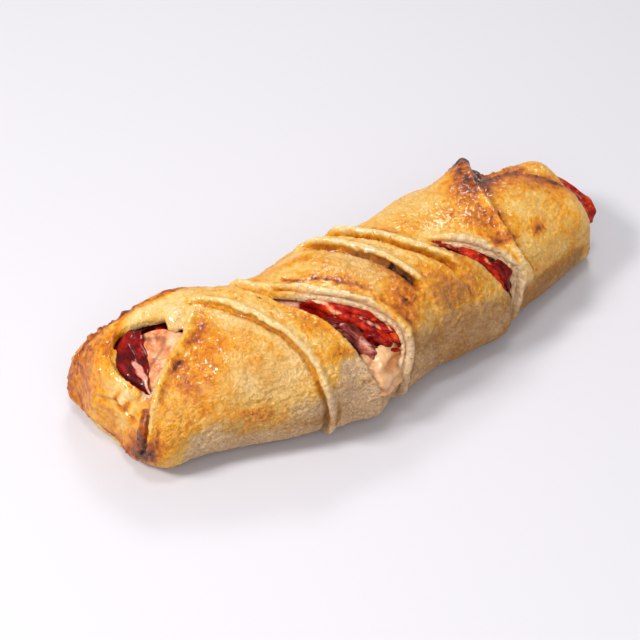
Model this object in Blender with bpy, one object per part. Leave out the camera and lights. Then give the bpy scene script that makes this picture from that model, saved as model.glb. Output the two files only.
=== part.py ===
"""A stromboli: strips of dough folded over layers of cured ham and cheese, then baked.

The roll lies along +X on its flat underside, with its folded end at -X and its open end at +X. Points of
the roll are placed by three numbers: the distance along it from the folded end (mm), the angle round it
(degrees, 0 at the front, 90 on top, 180 at the back, -90 underneath) and the depth below the skin (mm).
Everything is worked out in millimetres and scaled to metres when a mesh is made.
"""

import math

import bmesh
import bpy
import mathutils
import numpy as np

METRES = 0.001

# The roll as a whole, in millimetres.
LENGTH = 300.0
HALF_WIDTH = 49.3
WIDEST_AT = 147.0  # distance from the folded end to the widest place
HEIGHT_PER_HALF_WIDTH = 1.24
FOLDED_END_TAPER = (0.35, 3.6)  # share of the width lost at that end, and how late it is lost
OPEN_END_TAPER = (0.3, 2.5)
BEND_AT = 117.0  # the roll is two nearly straight arms that meet here
BEND_SLOPES = (0.2, 0.18)  # of the arm with the folded end, and of the other
BEND_SOFTNESS = 3.5
FOLDED_END_ROUNDING = 18.0
OPEN_END_ROUNDING = 16.0
WAIST = 0.36  # height of the widest level, as a share of the height
ROUNDNESS = 2.3  # exponent of the section's superellipse
END_ROUNDNESS = 2.4

# Dough and filling, in millimetres.
CRUST = 5.0  # thickness of the dough wall
DEEP = 7.5  # strips are modelled down to this depth, and the hollow is then cut out of them
LIP = 2.6  # radius of a strip's rounded edge
GAP = 0.45  # clearance between pieces that touch
MM_PER_DEGREE = 0.75  # arc length of one degree round the roll

# How far the roll's sides stand out from its even shape, as (distance along the roll, millimetres).
FRONT_SWELLING = [
    (0, 4), (8, 10), (20, 8), (36, 0), (60, -1.5), (80, -0.5), (100, 0.5), (113, -0.5), (120, 2),
]
FRONT_SWELLING += [
    (130, 8), (135, 3), (142, -1), (160, -3), (176, -4), (190, -1), (205, 1), (217, 4), (227, -4),
]
FRONT_SWELLING += [(245, -3), (260, -4), (290, -4), (300, -2)]
BACK_SWELLING = [
    (0, 0), (30, 0), (50, 4), (67, 5), (76, -2), (84, -9), (98, -10), (108, -5), (120, 0), (132, 4),
]
BACK_SWELLING += [
    (152, 5), (166, 0), (180, -2), (192, 0), (212, 5), (238, 2), (258, -7), (285, -6), (300, 0),
]
END_SKEW = (8.0, 4.0)  # how far the folded end is cut back on its front side, and underneath

# Edges of the strips, as (distance along the roll, angle round it).
FLAP_RIM = [
    (10, -53), (10, 0), (13, 28), (18, 43), (18, 54), (15, 68), (14, 80), (16, 92), (21, 104),
    (27, 113), (38, 124),
]
FLAP_FOOT = [
    (4, -53), (4, 0), (4, 28), (4, 43), (4, 54), (4, 68), (4, 80), (4, 92), (4, 104), (5, 113),
    (6, 124),
]
FRONT_STRIP_LEFT = [
    (1, -53), (1, 6), (5, 24), (12, 41), (21, 54), (27, 64), (34, 73), (41, 81), (48, 88), (53, 95),
    (60, 104),
]
FRONT_STRIP_RIGHT = [
    (113, -53), (111, 6), (110, 24), (108, 41), (106, 54), (103, 64), (99, 73), (94, 81), (88, 88),
    (82, 95), (74, 104),
]
BACK_FLAP_EDGE = [(22, 122), (29, 113), (38, 111), (47, 105), (57, 102), (67, 105), (76, 108)]
BACK_FLAP_FOOT = [(16, 160), (26, 160), (38, 160), (48, 160), (58, 160), (68, 160), (80, 160)]
SECOND_LEFT = [
    (101, -53), (99, 5), (97, 30), (95, 50), (90, 68), (83, 82), (73, 95), (62, 107), (54, 128),
    (50, 165),
]
SECOND_RIGHT = [
    (131, -53), (129, 5), (124, 30), (120, 50), (115, 68), (107, 82), (100, 91), (99, 103),
    (98, 128), (95, 165),
]
THIRD_LEFT = [
    (140, -53), (142, 6), (146, 20), (146, 36), (141, 52), (134, 66), (124, 77), (112, 87),
    (101, 95), (92, 105), (84, 130), (80, 165),
]
THIRD_RIGHT = [
    (180, -53), (180, 6), (180, 20), (180, 36), (178, 52), (174, 66), (168, 78), (161, 90),
    (154, 102), (146, 118), (134, 140), (128, 165),
]
FOURTH_LEFT = [
    (172, -53), (172, 0), (172, 30), (170, 52), (167, 68), (160, 86), (150, 102), (140, 119),
    (130, 140), (124, 165),
]
FOURTH_RIGHT = [
    (203, -53), (203, 0), (203, 30), (202, 50), (198, 66), (189, 82), (177, 98), (168, 112),
    (158, 138), (152, 165),
]
FIFTH_LEFT = [
    (194, -53), (195, 0), (196, 30), (195, 50), (191, 65), (182, 80), (170, 95), (161, 109),
    (152, 135), (146, 165),
]
FIFTH_RIGHT = [
    (223, -53), (222, 8), (218, 24), (213, 42), (205, 58), (196, 73), (187, 87), (177, 107),
    (168, 130), (160, 165),
]
CORNER_FLAP_LEFT = [
    (221, -53), (222, -10), (226, 8), (229, 20), (226, 34), (219, 50), (210, 63), (200, 74),
    (189, 84), (179, 99), (171, 117), (164, 140), (158, 165),
]
CORNER_FLAP_RIGHT = [
    (236, -53), (236, -10), (238, 8), (240, 20), (237, 34), (234, 50), (233, 63), (234, 75),
    (236, 87), (240, 102), (245, 118), (251, 134), (254, 165),
]
END_WRAP_TOP = [
    (228, 118), (246, 117), (256, 114), (267, 111), (277, 101), (284, 90), (290, 80), (294, 74),
]
END_WRAP_FOOT = [
    (227, -53), (238, -53), (250, -53), (262, -53), (274, -53), (282, -53), (289, -53), (294, -53),
]
BACK_RIM_EDGE = [(246, 113), (258, 112), (269, 107), (279, 98), (287, 87), (292, 78)]
BACK_RIM_FOOT = [(248, 165), (258, 165), (268, 165), (278, 165), (287, 165), (294, 165)]

CRUST_COLOUR = (0.72, 0.44, 0.16)
HAM_COLOUR = (0.42, 0.03, 0.02)
FAT_COLOUR = (0.78, 0.45, 0.38)
CHEESE_COLOUR = (0.86, 0.72, 0.50)


def share(value, low, high):
    """0 below low, 1 above high, and a smooth ramp between them."""
    t = np.clip((np.asarray(value, float) - low) / (high - low), 0, 1)
    return t * t * (3 - 2 * t)


# ---- the shape of the roll ----


def half_width(along):
    lost, power = FOLDED_END_TAPER
    towards_folded = np.clip((WIDEST_AT - along) / WIDEST_AT, 0, 1)
    loss = lost * towards_folded**power
    lost, power = OPEN_END_TAPER
    towards_open = np.clip((along - WIDEST_AT) / (LENGTH - WIDEST_AT), 0, 1)
    return HALF_WIDTH * (1 - loss - lost * towards_open**power)


def centre_line(along):
    """How far back the middle of the roll lies."""
    slope = np.where(along < BEND_AT, *BEND_SLOPES)
    return np.sqrt((slope * (along - BEND_AT)) ** 2 + BEND_SOFTNESS**2)


def swelling(table, along, depth):
    """The side's extra width here: a soft curve through the table. What lies deep doesn't swell outwards."""
    places, sizes = np.array(table, float).T
    around = np.linspace(-4, 4, 9)
    extra = np.mean([np.interp(along + step, places, sizes) for step in around], axis=0)
    return np.where(extra > 0, extra * (1 - share(depth, 2, 5)), extra)


def closing(distance, rounding):
    """From 0 at the roll's very end to 1 where the end's rounding is over."""
    t = np.clip(distance / rounding, 0, 1)
    return (1 - (1 - t) ** END_ROUNDNESS) ** (1 / END_ROUNDNESS)


def puffs(along, angle):
    """How far the skin swells out over the filling and sinks between its slices, in millimetres."""
    swell = np.sin(along / 13 + angle / 31) + np.sin(along / 7.3 - angle / 19 + 2)
    swell = swell + 0.7 * np.sin(along / 21 - angle / 11 + 4)
    above_floor = share(angle, -45, -20) * (1 - share(angle, 190, 215))
    return 0.34 * swell * above_floor


def place(along, angle, depth, ends=(True, True), floor=0.1):
    """The point at this distance, angle and depth, in millimetres."""
    along, angle, depth = np.broadcast_arrays(
        np.asarray(along, float), np.asarray(angle, float), np.asarray(depth, float)
    )
    inside = np.minimum(along if ends[0] else 1e3, LENGTH - along if ends[1] else 1e3)
    depth = np.minimum(depth, inside - 0.3)
    closed = np.ones_like(along)
    if ends[0]:
        closed = closed * closing(along - depth, FOLDED_END_ROUNDING)
    if ends[1]:
        closed = closed * closing(LENGTH - along - depth, OPEN_END_ROUNDING)
    wide = half_width(along)
    tall = wide * HEIGHT_PER_HALF_WIDTH * np.maximum(closed, 0.02)
    wide = wide * (0.7 + 0.3 * closed)
    waist = WAIST * tall
    cos, sin = np.cos(np.radians(angle)), np.sin(np.radians(angle))
    front, back = share(cos, -0.1, 0.7), share(-cos, 0.2, 0.75)
    wide = wide + front * (1 - share(angle, 5, 55)) * swelling(FRONT_SWELLING, along, depth)
    wide = wide + back * swelling(BACK_SWELLING, along, depth)
    across = (wide - depth) * np.sign(cos) * np.abs(cos) ** (2 / ROUNDNESS)
    rise = np.maximum(tall - waist - depth, 0.1) * np.abs(sin) ** (2 / ROUNDNESS)
    drop = 1.3 * waist * np.abs(sin) ** (2 / ROUNDNESS)
    height = np.where(sin > 0, waist + rise, waist - drop)
    skew = END_SKEW[0] * front + END_SKEW[1] * share(-sin, -0.3, 0.6) - 2 * back * share(sin, 0, 0.5)
    skewed = along + skew * (1 - share(along, 0, 34))
    return np.stack([skewed, centre_line(along) - across, np.maximum(height, np.maximum(depth, floor))], -1)


# ---- turning rings of points into closed meshes ----


def new_object(name, points, faces):
    mesh = bpy.data.meshes.new(name)
    mesh.from_pydata([tuple(METRES * p) for p in points], [], faces)
    work = bmesh.new()
    work.from_mesh(mesh)
    bmesh.ops.triangulate(work, faces=work.faces[:])
    bmesh.ops.recalc_face_normals(work, faces=work.faces[:])
    if work.calc_volume(signed=True) < 0:
        bmesh.ops.reverse_faces(work, faces=work.faces[:])
    work.to_mesh(mesh)
    work.free()
    made = bpy.data.objects.new(name, mesh)
    bpy.context.scene.collection.objects.link(made)
    return made


def loft(name, rings):
    """A closed body through rings that each hold the same number of points, with a face over each end."""
    count, around = len(rings), len(rings[0])
    points = [p for ring in rings for p in ring]
    faces = [tuple(range(around))[::-1], tuple(range((count - 1) * around, count * around))]
    for i in range(count - 1):
        for j in range(around):
            k = (j + 1) % around
            faces.append((i * around + j, i * around + k, (i + 1) * around + k, (i + 1) * around + j))
    return new_object(name, points, faces)


def smooth_path(corners, t):
    """Points on a smooth curve through the corners, where t counts corners."""
    corners = np.array(corners, float)
    padded = np.vstack([2 * corners[0] - corners[1], corners, 2 * corners[-1] - corners[-2]])
    i = np.minimum(t.astype(int), len(corners) - 2)
    f = (t - i)[:, None]
    a, b, c, d = padded[i], padded[i + 1], padded[i + 2], padded[i + 3]
    return 0.5 * (2 * b + (c - a) * f + (2 * a - 5 * b + 4 * c - d) * f**2 + (3 * b - a - 3 * c + d) * f**3)


# ---- strips of dough ----


def strip_section(width, lip, left_lift, right_lift, crown, reach, deep):
    """(distance from the left edge, depth) round a strip: a rounded edge on each side and a puffed top."""
    lip = min(lip, width / 5)
    inner = np.linspace(0, 1, 6)[1:-1]
    middle = lip + inner * (width - 2 * lip)
    from_left, from_right = middle - lip, width - lip - middle
    left_share = np.exp(-((from_left / reach) ** 2))
    right_share = np.exp(-((from_right / reach) ** 2))
    top = -left_lift * left_share - right_lift * right_share - crown * np.sin(np.pi * inner)
    left_edge = [(0.9 * lip, deep), (0.35 * lip, 2 * lip - left_lift), (0, lip - left_lift)]
    left_edge += [(0.3 * lip, 0.3 * lip - left_lift), (lip, -left_lift)]
    right_edge = [(width - s, d + left_lift - right_lift) for s, d in reversed(left_edge[1:])]
    right_edge += [(width - 0.9 * lip, deep)]
    return left_edge + list(zip(middle, top)) + right_edge


def strip(
    name, left, right, count, lifts=(0, 0), crown=1.0, reach=9.0, lip=LIP,
    fade=(0, 0), deep=DEEP, tuck=0, peak=(0, 0),
):
    """A strip between two edges. lifts raise its left and right edges and fade out near the strip's ends.

    tuck is how far its last quarter dives under its neighbours. peak says how far along the strip its right
    edge stands up highest, and by how much.
    """
    fine = np.linspace(0, len(left) - 1, 300)
    steps = np.diff(smooth_path(left, fine) + smooth_path(right, fine), axis=0) / 2
    travelled = np.concatenate([[0], np.cumsum(np.hypot(steps[:, 0], MM_PER_DEGREE * steps[:, 1]))])
    marks = np.interp(np.linspace(0, travelled[-1], count), travelled, fine)
    lefts, rights = smooth_path(left, marks), smooth_path(right, marks)
    rings = []
    for i, (a, b) in enumerate(zip(lefts, rights)):
        t = i / (count - 1)
        held = share(t, 0, max(fade[0], 1e-6)) * share(1 - t, 0, max(fade[1], 1e-6))
        width = math.hypot(b[0] - a[0], MM_PER_DEGREE * (b[1] - a[1]))
        standing = peak[1] * math.exp(-(((t - peak[0]) / 0.11) ** 2))
        section = strip_section(width, lip, lifts[0] * held, lifts[1] * held + standing, crown, reach, deep)
        s, depth = np.array(section).T
        spots = a + (s / width)[:, None] * (b - a)
        depth = depth - puffs(spots[:, 0], spots[:, 1]) + tuck * share(t, 0.75, 1)
        rings.append(place(spots[:, 0], spots[:, 1], depth))
    return loft(name, rings)


def dough_strips():
    """The flaps and strips, from the folded end to the open end."""
    return [
        strip("end_flap", FLAP_FOOT, FLAP_RIM, 12, lifts=(0, 0.6), crown=0.8, lip=2.2, deep=5),
        strip(
            "front_strip", FRONT_STRIP_LEFT, FRONT_STRIP_RIGHT, 15,
            lifts=(2.6, -1.5), crown=0.6, lip=3.4, reach=10,
        ),
        strip("back_flap", BACK_FLAP_EDGE, BACK_FLAP_FOOT, 10, lifts=(1.2, -3), crown=0.4),
        strip("second_strip", SECOND_LEFT, SECOND_RIGHT, 17, lifts=(2.4, -1.2), fade=(0, 0.2), tuck=2.5),
        strip(
            "third_strip", THIRD_LEFT, THIRD_RIGHT, 18,
            lifts=(1.6, -1.0), lip=4.2, fade=(0, 0.2), tuck=2.5,
        ),
        strip(
            "fourth_strip", FOURTH_LEFT, FOURTH_RIGHT, 17,
            lifts=(2.2, -0.6), crown=0.6, fade=(0.6, 0.2), tuck=2.5,
        ),
        strip(
            "fifth_strip", FIFTH_LEFT, FIFTH_RIGHT, 17,
            lifts=(1.8, 0.2), crown=0.6, fade=(0.6, 0.2), tuck=2.5,
        ),
        strip(
            "corner_flap",
            CORNER_FLAP_LEFT,
            CORNER_FLAP_RIGHT,
            19,
            lifts=(0.2, 2.2),
            crown=0.3,
            reach=14,
            lip=4,
            fade=(0.45, 0),
            tuck=3,
            peak=(0.83, 8),
        ),
        strip("end_wrap", END_WRAP_TOP, END_WRAP_FOOT, 11, lifts=(0.4, 0), crown=0, reach=14),
        strip("back_rim", BACK_RIM_EDGE, BACK_RIM_FOOT, 9, lifts=(-1.2, -3), crown=1.0),
    ]


def dough_base():
    """The sheet under and behind the filling, with its two rounded ends. Its open top is sunk below DEEP."""
    alongs = np.concatenate([[0.9, 2, 4, 7, 11], np.linspace(16, 284, 28), [289, 293, 296, 298, 299.1]])
    angles = np.linspace(-180, 170, 36)
    grid_along, grid_angle = np.meshgrid(alongs, angles, indexing="ij")
    back_limit = 112 + 24 * share(grid_along, 60, 85) * (1 - share(grid_along, 232, 246))
    open_front = share(grid_angle, 0, 8) * (1 - share(grid_angle, back_limit, back_limit + 12))
    open_length = share(grid_along, 10, 16) * (1 - share(grid_along, 286, 292))
    front = share(grid_angle, -60, -45) * (1 - share(grid_angle, 60, 90)) * share(grid_along, 12, 20)
    under = share(-grid_angle, 50, 60) * share(grid_angle, -130, -120)
    depth = (0.6 + 1.6 * front * (1 - share(grid_along, 270, 285))) * (1 - under)
    depth = depth + (DEEP + 1 - depth) * open_front * open_length
    behind = np.where(grid_angle < -90, grid_angle + 360, grid_angle)
    return loft("dough", place(grid_along, grid_angle, depth - puffs(grid_along, behind), floor=0))


def hollow(name, depth, ends):
    """The room for the filling. ends gives its last rings, as (distance along, how much they shrink)."""
    middle = np.linspace(22, 282, 20)
    alongs = np.concatenate([depth + np.array([5, 8, 12]), middle, [along for along, _ in ends]])
    shrink = np.concatenate([np.zeros(3 + len(middle)), [less for _, less in ends]])
    angles = np.array([-180, -150, -130, -90, -50, -30, *range(-15, 180, 15)])
    grid_along, grid_angle = np.meshgrid(alongs, angles, indexing="ij")
    spots = place(grid_along, grid_angle, depth + shrink[:, None], ends=(True, False))
    # A dough doorstep rises at the open end, and is higher at the sides of the mouth than in its middle.
    turn = np.radians(grid_angle)
    rise = np.where(grid_angle < 0, 10 + 9 * np.cos(turn) ** 2, 19 + 7 * np.sin(turn))
    doorstep = depth + 1 + rise * share(grid_along, 276, 292)
    doorstep = doorstep + np.where(grid_angle < 0, 0.5, 0) * shrink[:, None]
    spots[..., 2] = np.maximum(spots[..., 2], doorstep)
    return loft(name, spots)


def ball(name, middle, size, turn=(0, 0, 0)):
    """A small lump of dough, with its three half sizes in millimetres."""
    bpy.ops.mesh.primitive_uv_sphere_add(segments=12, ring_count=8, radius=1)
    made = bpy.context.object
    made.name = name
    made.scale = [METRES * s for s in size]
    made.rotation_euler = [math.radians(a) for a in turn]
    made.location = METRES * middle
    bpy.context.view_layer.update()
    made.data.transform(made.matrix_world)
    made.matrix_world.identity()
    return made


def flap_corner():
    """The corner of the flap that stood up in the oven, as a bent horn with a blunt tip."""
    rings = []
    for t in np.linspace(0, 1, 7):
        radius = 9 * (1 - t) ** 0.9 + 2.3
        middle = place(240 + 5 * t, 122 + 9 * t, 2 - 12 * t)
        angles = np.radians(np.arange(0, 360, 30))
        around = [np.array([math.cos(a), 0.55 * math.sin(a), -0.3 * math.sin(a)]) for a in angles]
        ring = [middle + radius * spoke for spoke in around]
        rings.append(ring)
    return loft("flap_corner", rings)


# ---- joining and cutting ----


def tidy(target):
    """Merges points that a cut left nearer together than 0.05 mm, and splits every face into triangles."""
    work = bmesh.new()
    work.from_mesh(target.data)
    bmesh.ops.triangulate(work, faces=work.faces[:])
    bmesh.ops.remove_doubles(work, verts=work.verts[:], dist=0.05 * METRES)
    bmesh.ops.dissolve_degenerate(work, edges=work.edges[:], dist=0.02 * METRES)
    for reach in (0.15, 0.3, 0.6):
        torn = {vert for edge in work.edges if len(edge.link_faces) != 2 for vert in edge.verts}
        near = [v for v in work.verts if any((v.co - t.co).length < 2 * reach * METRES for t in torn)]
        bmesh.ops.remove_doubles(work, verts=near, dist=reach * METRES)
        bmesh.ops.delete(work, geom=[edge for edge in work.edges if not edge.link_faces], context="EDGES")
    bmesh.ops.triangulate(work, faces=work.faces[:])
    work.to_mesh(target.data)
    work.free()


def boolean(target, others, operation):
    group = bpy.data.collections.new("operands")
    for other in others:
        group.objects.link(other)
    cut = target.modifiers.new("cut", "BOOLEAN")
    cut.operation = operation
    cut.operand_type = "COLLECTION"
    cut.collection = group
    cut.solver = "EXACT"
    bpy.context.view_layer.update()
    result = bpy.data.meshes.new_from_object(target.evaluated_get(bpy.context.evaluated_depsgraph_get()))
    target.modifiers.clear()
    target.data = result
    tidy(target)
    for other in others:
        bpy.data.objects.remove(other)
    bpy.data.collections.remove(group)


def make_dough():
    dough = dough_base()
    lumps = [
        ball("curl", place(12, 50, 0.5), (5.5, 3.0, 2.8), turn=(0, -20, 25)),
        ball("tuck", place(54, 104, 2), (5, 4.5, 3.5)),
        ball("browned_corner", np.array([17, -2, 8.2]), (9, 9, 8)),
        flap_corner(),
    ]
    boolean(dough, dough_strips() + lumps, "UNION")
    room = hollow("room", CRUST, [(288, 0), (294, 0), (300, 0), (312, 0)])
    boolean(dough, [room], "DIFFERENCE")
    return dough


# ---- the filling ----


def cheese_top(along, across):
    """Height of the cheese under the ham. across runs from the middle of the roll towards the back."""
    tall = half_width(along) * HEIGHT_PER_HALF_WIDTH
    waves = 1.5 * np.sin(along / 14 + across / 23) + 0.9 * np.sin(along / 6.1 - across / 9)
    return (0.46 - 0.12 * share(along, 250, 276)) * tall + waves


def ham_split(along, across):
    """Height at which the fatty ham ends and the dark ham begins."""
    tall = half_width(along) * HEIGHT_PER_HALF_WIDTH
    near_end = 1 - share(along, 28, 50)
    near_mouth = share(along, 258, 284)
    tilt = -0.16 * across * (1 - near_end) * (1 - near_mouth)
    return (0.74 - 0.16 * near_end - 0.2 * near_mouth) * tall + tilt + 1.4 * np.sin(along / 11 - across / 18)


def slab(name, bottom, top, ends):
    """The filling between two wavy heights, given as functions of the distance along and across the roll."""
    body = hollow(name, CRUST + GAP, ends)
    alongs, acrosses = np.linspace(-6, 311, 33), np.linspace(-60, 60, 9)
    grid_along, grid_across = np.meshgrid(alongs, acrosses, indexing="ij")
    back = centre_line(grid_along) + grid_across
    sheets = [
        np.stack([grid_along, back, bottom(grid_along, grid_across)], -1),
        np.stack([grid_along, back, top(grid_along, grid_across)], -1),
    ]
    rings = []
    for low, high in zip(*sheets):
        rings.append(np.concatenate([low, high[::-1]]))
    boolean(body, [loft("layer", rings)], "INTERSECT")
    return body


def floor_below(along, across):
    return np.full_like(along, -10.0)


def sky_above(along, across):
    return np.full_like(along, 90.0)


def shifted(height, by):
    return lambda along, across: height(along, across) + by


def make_filling():
    inner_ends = [(288, 0), (292, 0.7), (294, 1.6), (295.5, 4)]
    outer_ends = [(288, 0.4), (294, 0.7), (301, 0.7), (305.5, 3.5)]
    slab("cheese", floor_below, shifted(cheese_top, -GAP / 2), inner_ends)
    slab("ham_lower", shifted(cheese_top, GAP / 2), shifted(ham_split, -GAP / 2), inner_ends)
    slab("ham_upper", shifted(ham_split, GAP / 2), sky_above, outer_ends)


# ---- colours and placing ----


def paint(name, colour, roughness):
    material = bpy.data.materials.new(name)
    material.use_nodes = True
    shader = material.node_tree.nodes["Principled BSDF"]
    shader.inputs["Base Color"].default_value = (*colour, 1)
    shader.inputs["Roughness"].default_value = roughness
    target = bpy.data.objects[name].data
    target.materials.clear()
    target.materials.append(material)


def stand_on_origin():
    """Moves the underside's middle to the origin."""
    points = [obj.matrix_world @ v.co for obj in bpy.data.objects for v in obj.data.vertices]
    low, high = np.min(points, axis=0), np.max(points, axis=0)
    middle = ((low[0] + high[0]) / 2, (low[1] + high[1]) / 2, low[2])
    for obj in bpy.data.objects:
        obj.data.transform(mathutils.Matrix.Translation(middle).inverted())
    return middle


def clear_scene():
    for thing in list(bpy.data.objects):
        bpy.data.objects.remove(thing)


clear_scene()
make_dough()
make_filling()
moved = stand_on_origin()
paint("dough", CRUST_COLOUR, 0.5)
paint("cheese", CHEESE_COLOUR, 0.35)
paint("ham_lower", FAT_COLOUR, 0.35)
paint("ham_upper", HAM_COLOUR, 0.3)
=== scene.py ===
import math

import bmesh
import bpy
import numpy as np
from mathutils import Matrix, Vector, noise


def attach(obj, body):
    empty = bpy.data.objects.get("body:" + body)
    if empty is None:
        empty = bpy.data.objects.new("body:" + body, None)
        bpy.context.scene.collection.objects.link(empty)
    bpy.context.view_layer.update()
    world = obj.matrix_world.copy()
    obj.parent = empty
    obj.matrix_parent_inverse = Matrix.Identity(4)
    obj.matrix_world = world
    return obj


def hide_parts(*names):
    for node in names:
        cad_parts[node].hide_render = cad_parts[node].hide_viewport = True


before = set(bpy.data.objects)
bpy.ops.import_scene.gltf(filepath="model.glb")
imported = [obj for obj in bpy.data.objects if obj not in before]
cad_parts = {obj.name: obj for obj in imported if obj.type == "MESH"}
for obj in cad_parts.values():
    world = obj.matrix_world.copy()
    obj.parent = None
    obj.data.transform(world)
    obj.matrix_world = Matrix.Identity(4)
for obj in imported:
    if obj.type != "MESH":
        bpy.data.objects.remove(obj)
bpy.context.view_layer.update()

print("frame loaded:", sorted(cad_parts))

mm = 0.001
# The folded end of the roll lies here, in millimetres. Everything below is worked out from that end.
rollStart = np.array([-152.2021, -9.6763, 0.0])

# Shape of the whole roll, in millimetres. along runs from the folded end, and angle is 0 at the front
# and 90 on top.
roll = {
    "length": 300.0,
    "halfWidth": 49.3,
    "widestAt": 147.0,
    "heightPerHalfWidth": 1.24,
    "foldedTaper": (0.35, 3.6),
    "openTaper": (0.3, 2.5),
    "bendAt": 117.0,
    "bendSlopes": (0.2, 0.18),
    "bendSoftness": 3.5,
    "foldedRounding": 18.0,
    "openRounding": 16.0,
    "waist": 0.36,
    "roundness": 2.3,
    "endRoundness": 2.4,
    "endSkew": (8.0, 4.0),
    "mmPerDegree": 0.75,
    "frontSwelling": [
        (0, 4), (8, 10), (20, 8), (36, 0), (60, -1.5), (80, -0.5), (100, 0.5), (113, -0.5), (120, 2),
        (130, 8), (135, 3), (142, -1), (160, -3), (176, -4), (190, -1), (205, 1), (217, 4), (227, -4),
        (245, -3), (260, -4), (290, -4), (300, -2),
    ],
    "backSwelling": [
        (0, 0), (30, 0), (50, 4), (67, 5), (76, -2), (84, -9), (98, -10), (108, -5), (120, 0), (132, 4),
        (152, 5), (166, 0), (180, -2), (192, 0), (212, 5), (238, 2), (258, -7), (285, -6), (300, 0),
    ],
}


def share(value, low, high):  # 0 below low, 1 above high, smooth between
    t = np.clip((np.asarray(value, float) - low) / (high - low), 0, 1)
    return t * t * (3 - 2 * t)


def halfWidth(along):  # the roll narrows to both ends
    lost, power = roll["foldedTaper"]
    loss = lost * np.clip((roll["widestAt"] - along) / roll["widestAt"], 0, 1) ** power
    lost, power = roll["openTaper"]
    openSpan = roll["length"] - roll["widestAt"]
    loss = loss + lost * np.clip((along - roll["widestAt"]) / openSpan, 0, 1) ** power
    return roll["halfWidth"] * (1 - loss)


def centreLine(along):  # how far back the middle of the roll lies, bent like a shallow V
    slope = np.where(along < roll["bendAt"], *roll["bendSlopes"])
    return np.sqrt((slope * (along - roll["bendAt"])) ** 2 + roll["bendSoftness"] ** 2)


def swelling(table, along, depth):  # extra width, where a bulge fades with the depth and a dent does not
    places, sizes = np.array(table, float).T
    extra = np.mean([np.interp(along + step, places, sizes) for step in np.linspace(-4, 4, 9)], axis=0)
    return np.where(extra > 0, extra * (1 - share(depth, 2, 5)), extra)


def closing(distance, rounding):  # the rounded ends, from 0 at the tip to 1
    power = roll["endRoundness"]
    t = np.clip(distance / rounding, 0, 1)
    return (1 - (1 - t) ** power) ** (1 / power)


def puffs(along, angle):  # slow unevenness of the risen dough
    swell = np.sin(along / 13 + angle / 31) + np.sin(along / 7.3 - angle / 19 + 2)
    swell = swell + 0.7 * np.sin(along / 21 - angle / 11 + 4)
    return 0.34 * swell * share(angle, -45, -20) * (1 - share(angle, 190, 215))


def sidesOf(angle):  # cosine and sine, and how much this angle faces the front and the back
    cos, sin = np.cos(np.radians(angle)), np.sin(np.radians(angle))
    return cos, sin, share(cos, -0.1, 0.7), share(-cos, 0.2, 0.75)


def skewAt(front, back, sin):  # how far the folded end runs out at the front and underneath
    atFront, underneath = roll["endSkew"]
    return atFront * front + underneath * share(-sin, -0.3, 0.6) - 2 * back * share(sin, 0, 0.5)


def place(along, angle, depth, ends=(True, True), floor=0.1):  # a point this deep under the skin
    along, angle, depth = np.broadcast_arrays(*[np.asarray(v, float) for v in (along, angle, depth)])
    inside = np.minimum(along if ends[0] else 1e3, roll["length"] - along if ends[1] else 1e3)
    depth = np.minimum(depth, inside - 0.3)
    closed = np.ones_like(along)
    if ends[0]:
        closed = closed * closing(along - depth, roll["foldedRounding"])
    if ends[1]:
        closed = closed * closing(roll["length"] - along - depth, roll["openRounding"])
    wide = halfWidth(along)
    tall = wide * roll["heightPerHalfWidth"] * np.maximum(closed, 0.02)
    wide = wide * (0.7 + 0.3 * closed)
    waist = roll["waist"] * tall
    cos, sin, front, back = sidesOf(angle)
    wide = wide + front * (1 - share(angle, 5, 55)) * swelling(roll["frontSwelling"], along, depth)
    wide = wide + back * swelling(roll["backSwelling"], along, depth)
    power = 2 / roll["roundness"]
    across = (wide - depth) * np.sign(cos) * np.abs(cos) ** power
    rise = np.maximum(tall - waist - depth, 0.1) * np.abs(sin) ** power
    height = np.where(sin > 0, waist + rise, waist - 1.3 * waist * np.abs(sin) ** power)
    skewed = along + skewAt(front, back, sin) * (1 - share(along, 0, 34))
    return np.stack([skewed, centreLine(along) - across, np.maximum(height, np.maximum(depth, floor))], -1)


def whereOn(points):  # the other way round: distance along and angle of points near the skin
    x, y, z = points.T
    along, angle = x.copy(), np.full(len(x), 90.0)
    for _ in range(4):
        sin, front, back = sidesOf(angle)[1:]
        along = np.clip(x - skewAt(front, back, sin) * (1 - share(along, 0, 34)), 0.5, roll["length"] - 0.5)
        closed = closing(along, roll["foldedRounding"])
        closed = closed * closing(roll["length"] - along, roll["openRounding"])
        wide = halfWidth(along)
        tall = wide * roll["heightPerHalfWidth"] * np.maximum(closed, 0.05)
        wide = wide * (0.7 + 0.3 * closed)
        wide = wide + front * (1 - share(angle, 5, 55)) * swelling(roll["frontSwelling"], along, 0)
        wide = wide + back * swelling(roll["backSwelling"], along, 0)
        waist = roll["waist"] * tall
        across, up = (centreLine(along) - y) / wide, z - waist
        power = roll["roundness"] / 2
        c = np.sign(across) * np.abs(across) ** power
        s = np.where(up > 0, np.abs(up / (tall - waist)) ** power, -np.abs(up / (1.3 * waist)) ** power)
        angle = np.degrees(np.arctan2(s, c))
        angle = np.where(angle < -90, angle + 360, angle)
    return along, angle


def softNoise(points, size, seed, octaves=3, rough=0.6):  # uneven values round 0, in patches of this size
    at = points / size + np.array([seed * 13.7, seed * 5.1, seed * 9.3])
    return np.array([noise.fractal(Vector(p), rough, 2.1, octaves) for p in at])


def smoothPath(corners, t):  # points on a smooth curve through the corners, with t counted in corners
    corners = np.array(corners, float)
    padded = np.vstack([2 * corners[0] - corners[1], corners, 2 * corners[-1] - corners[-2]])
    i = np.minimum(t.astype(int), len(corners) - 2)
    f = (t - i)[:, None]
    a, b, c, d = padded[i], padded[i + 1], padded[i + 2], padded[i + 3]
    return 0.5 * (2 * b + (c - a) * f + (2 * a - 5 * b + 4 * c - d) * f**2 + (3 * b - a - 3 * c + d) * f**3)


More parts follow.
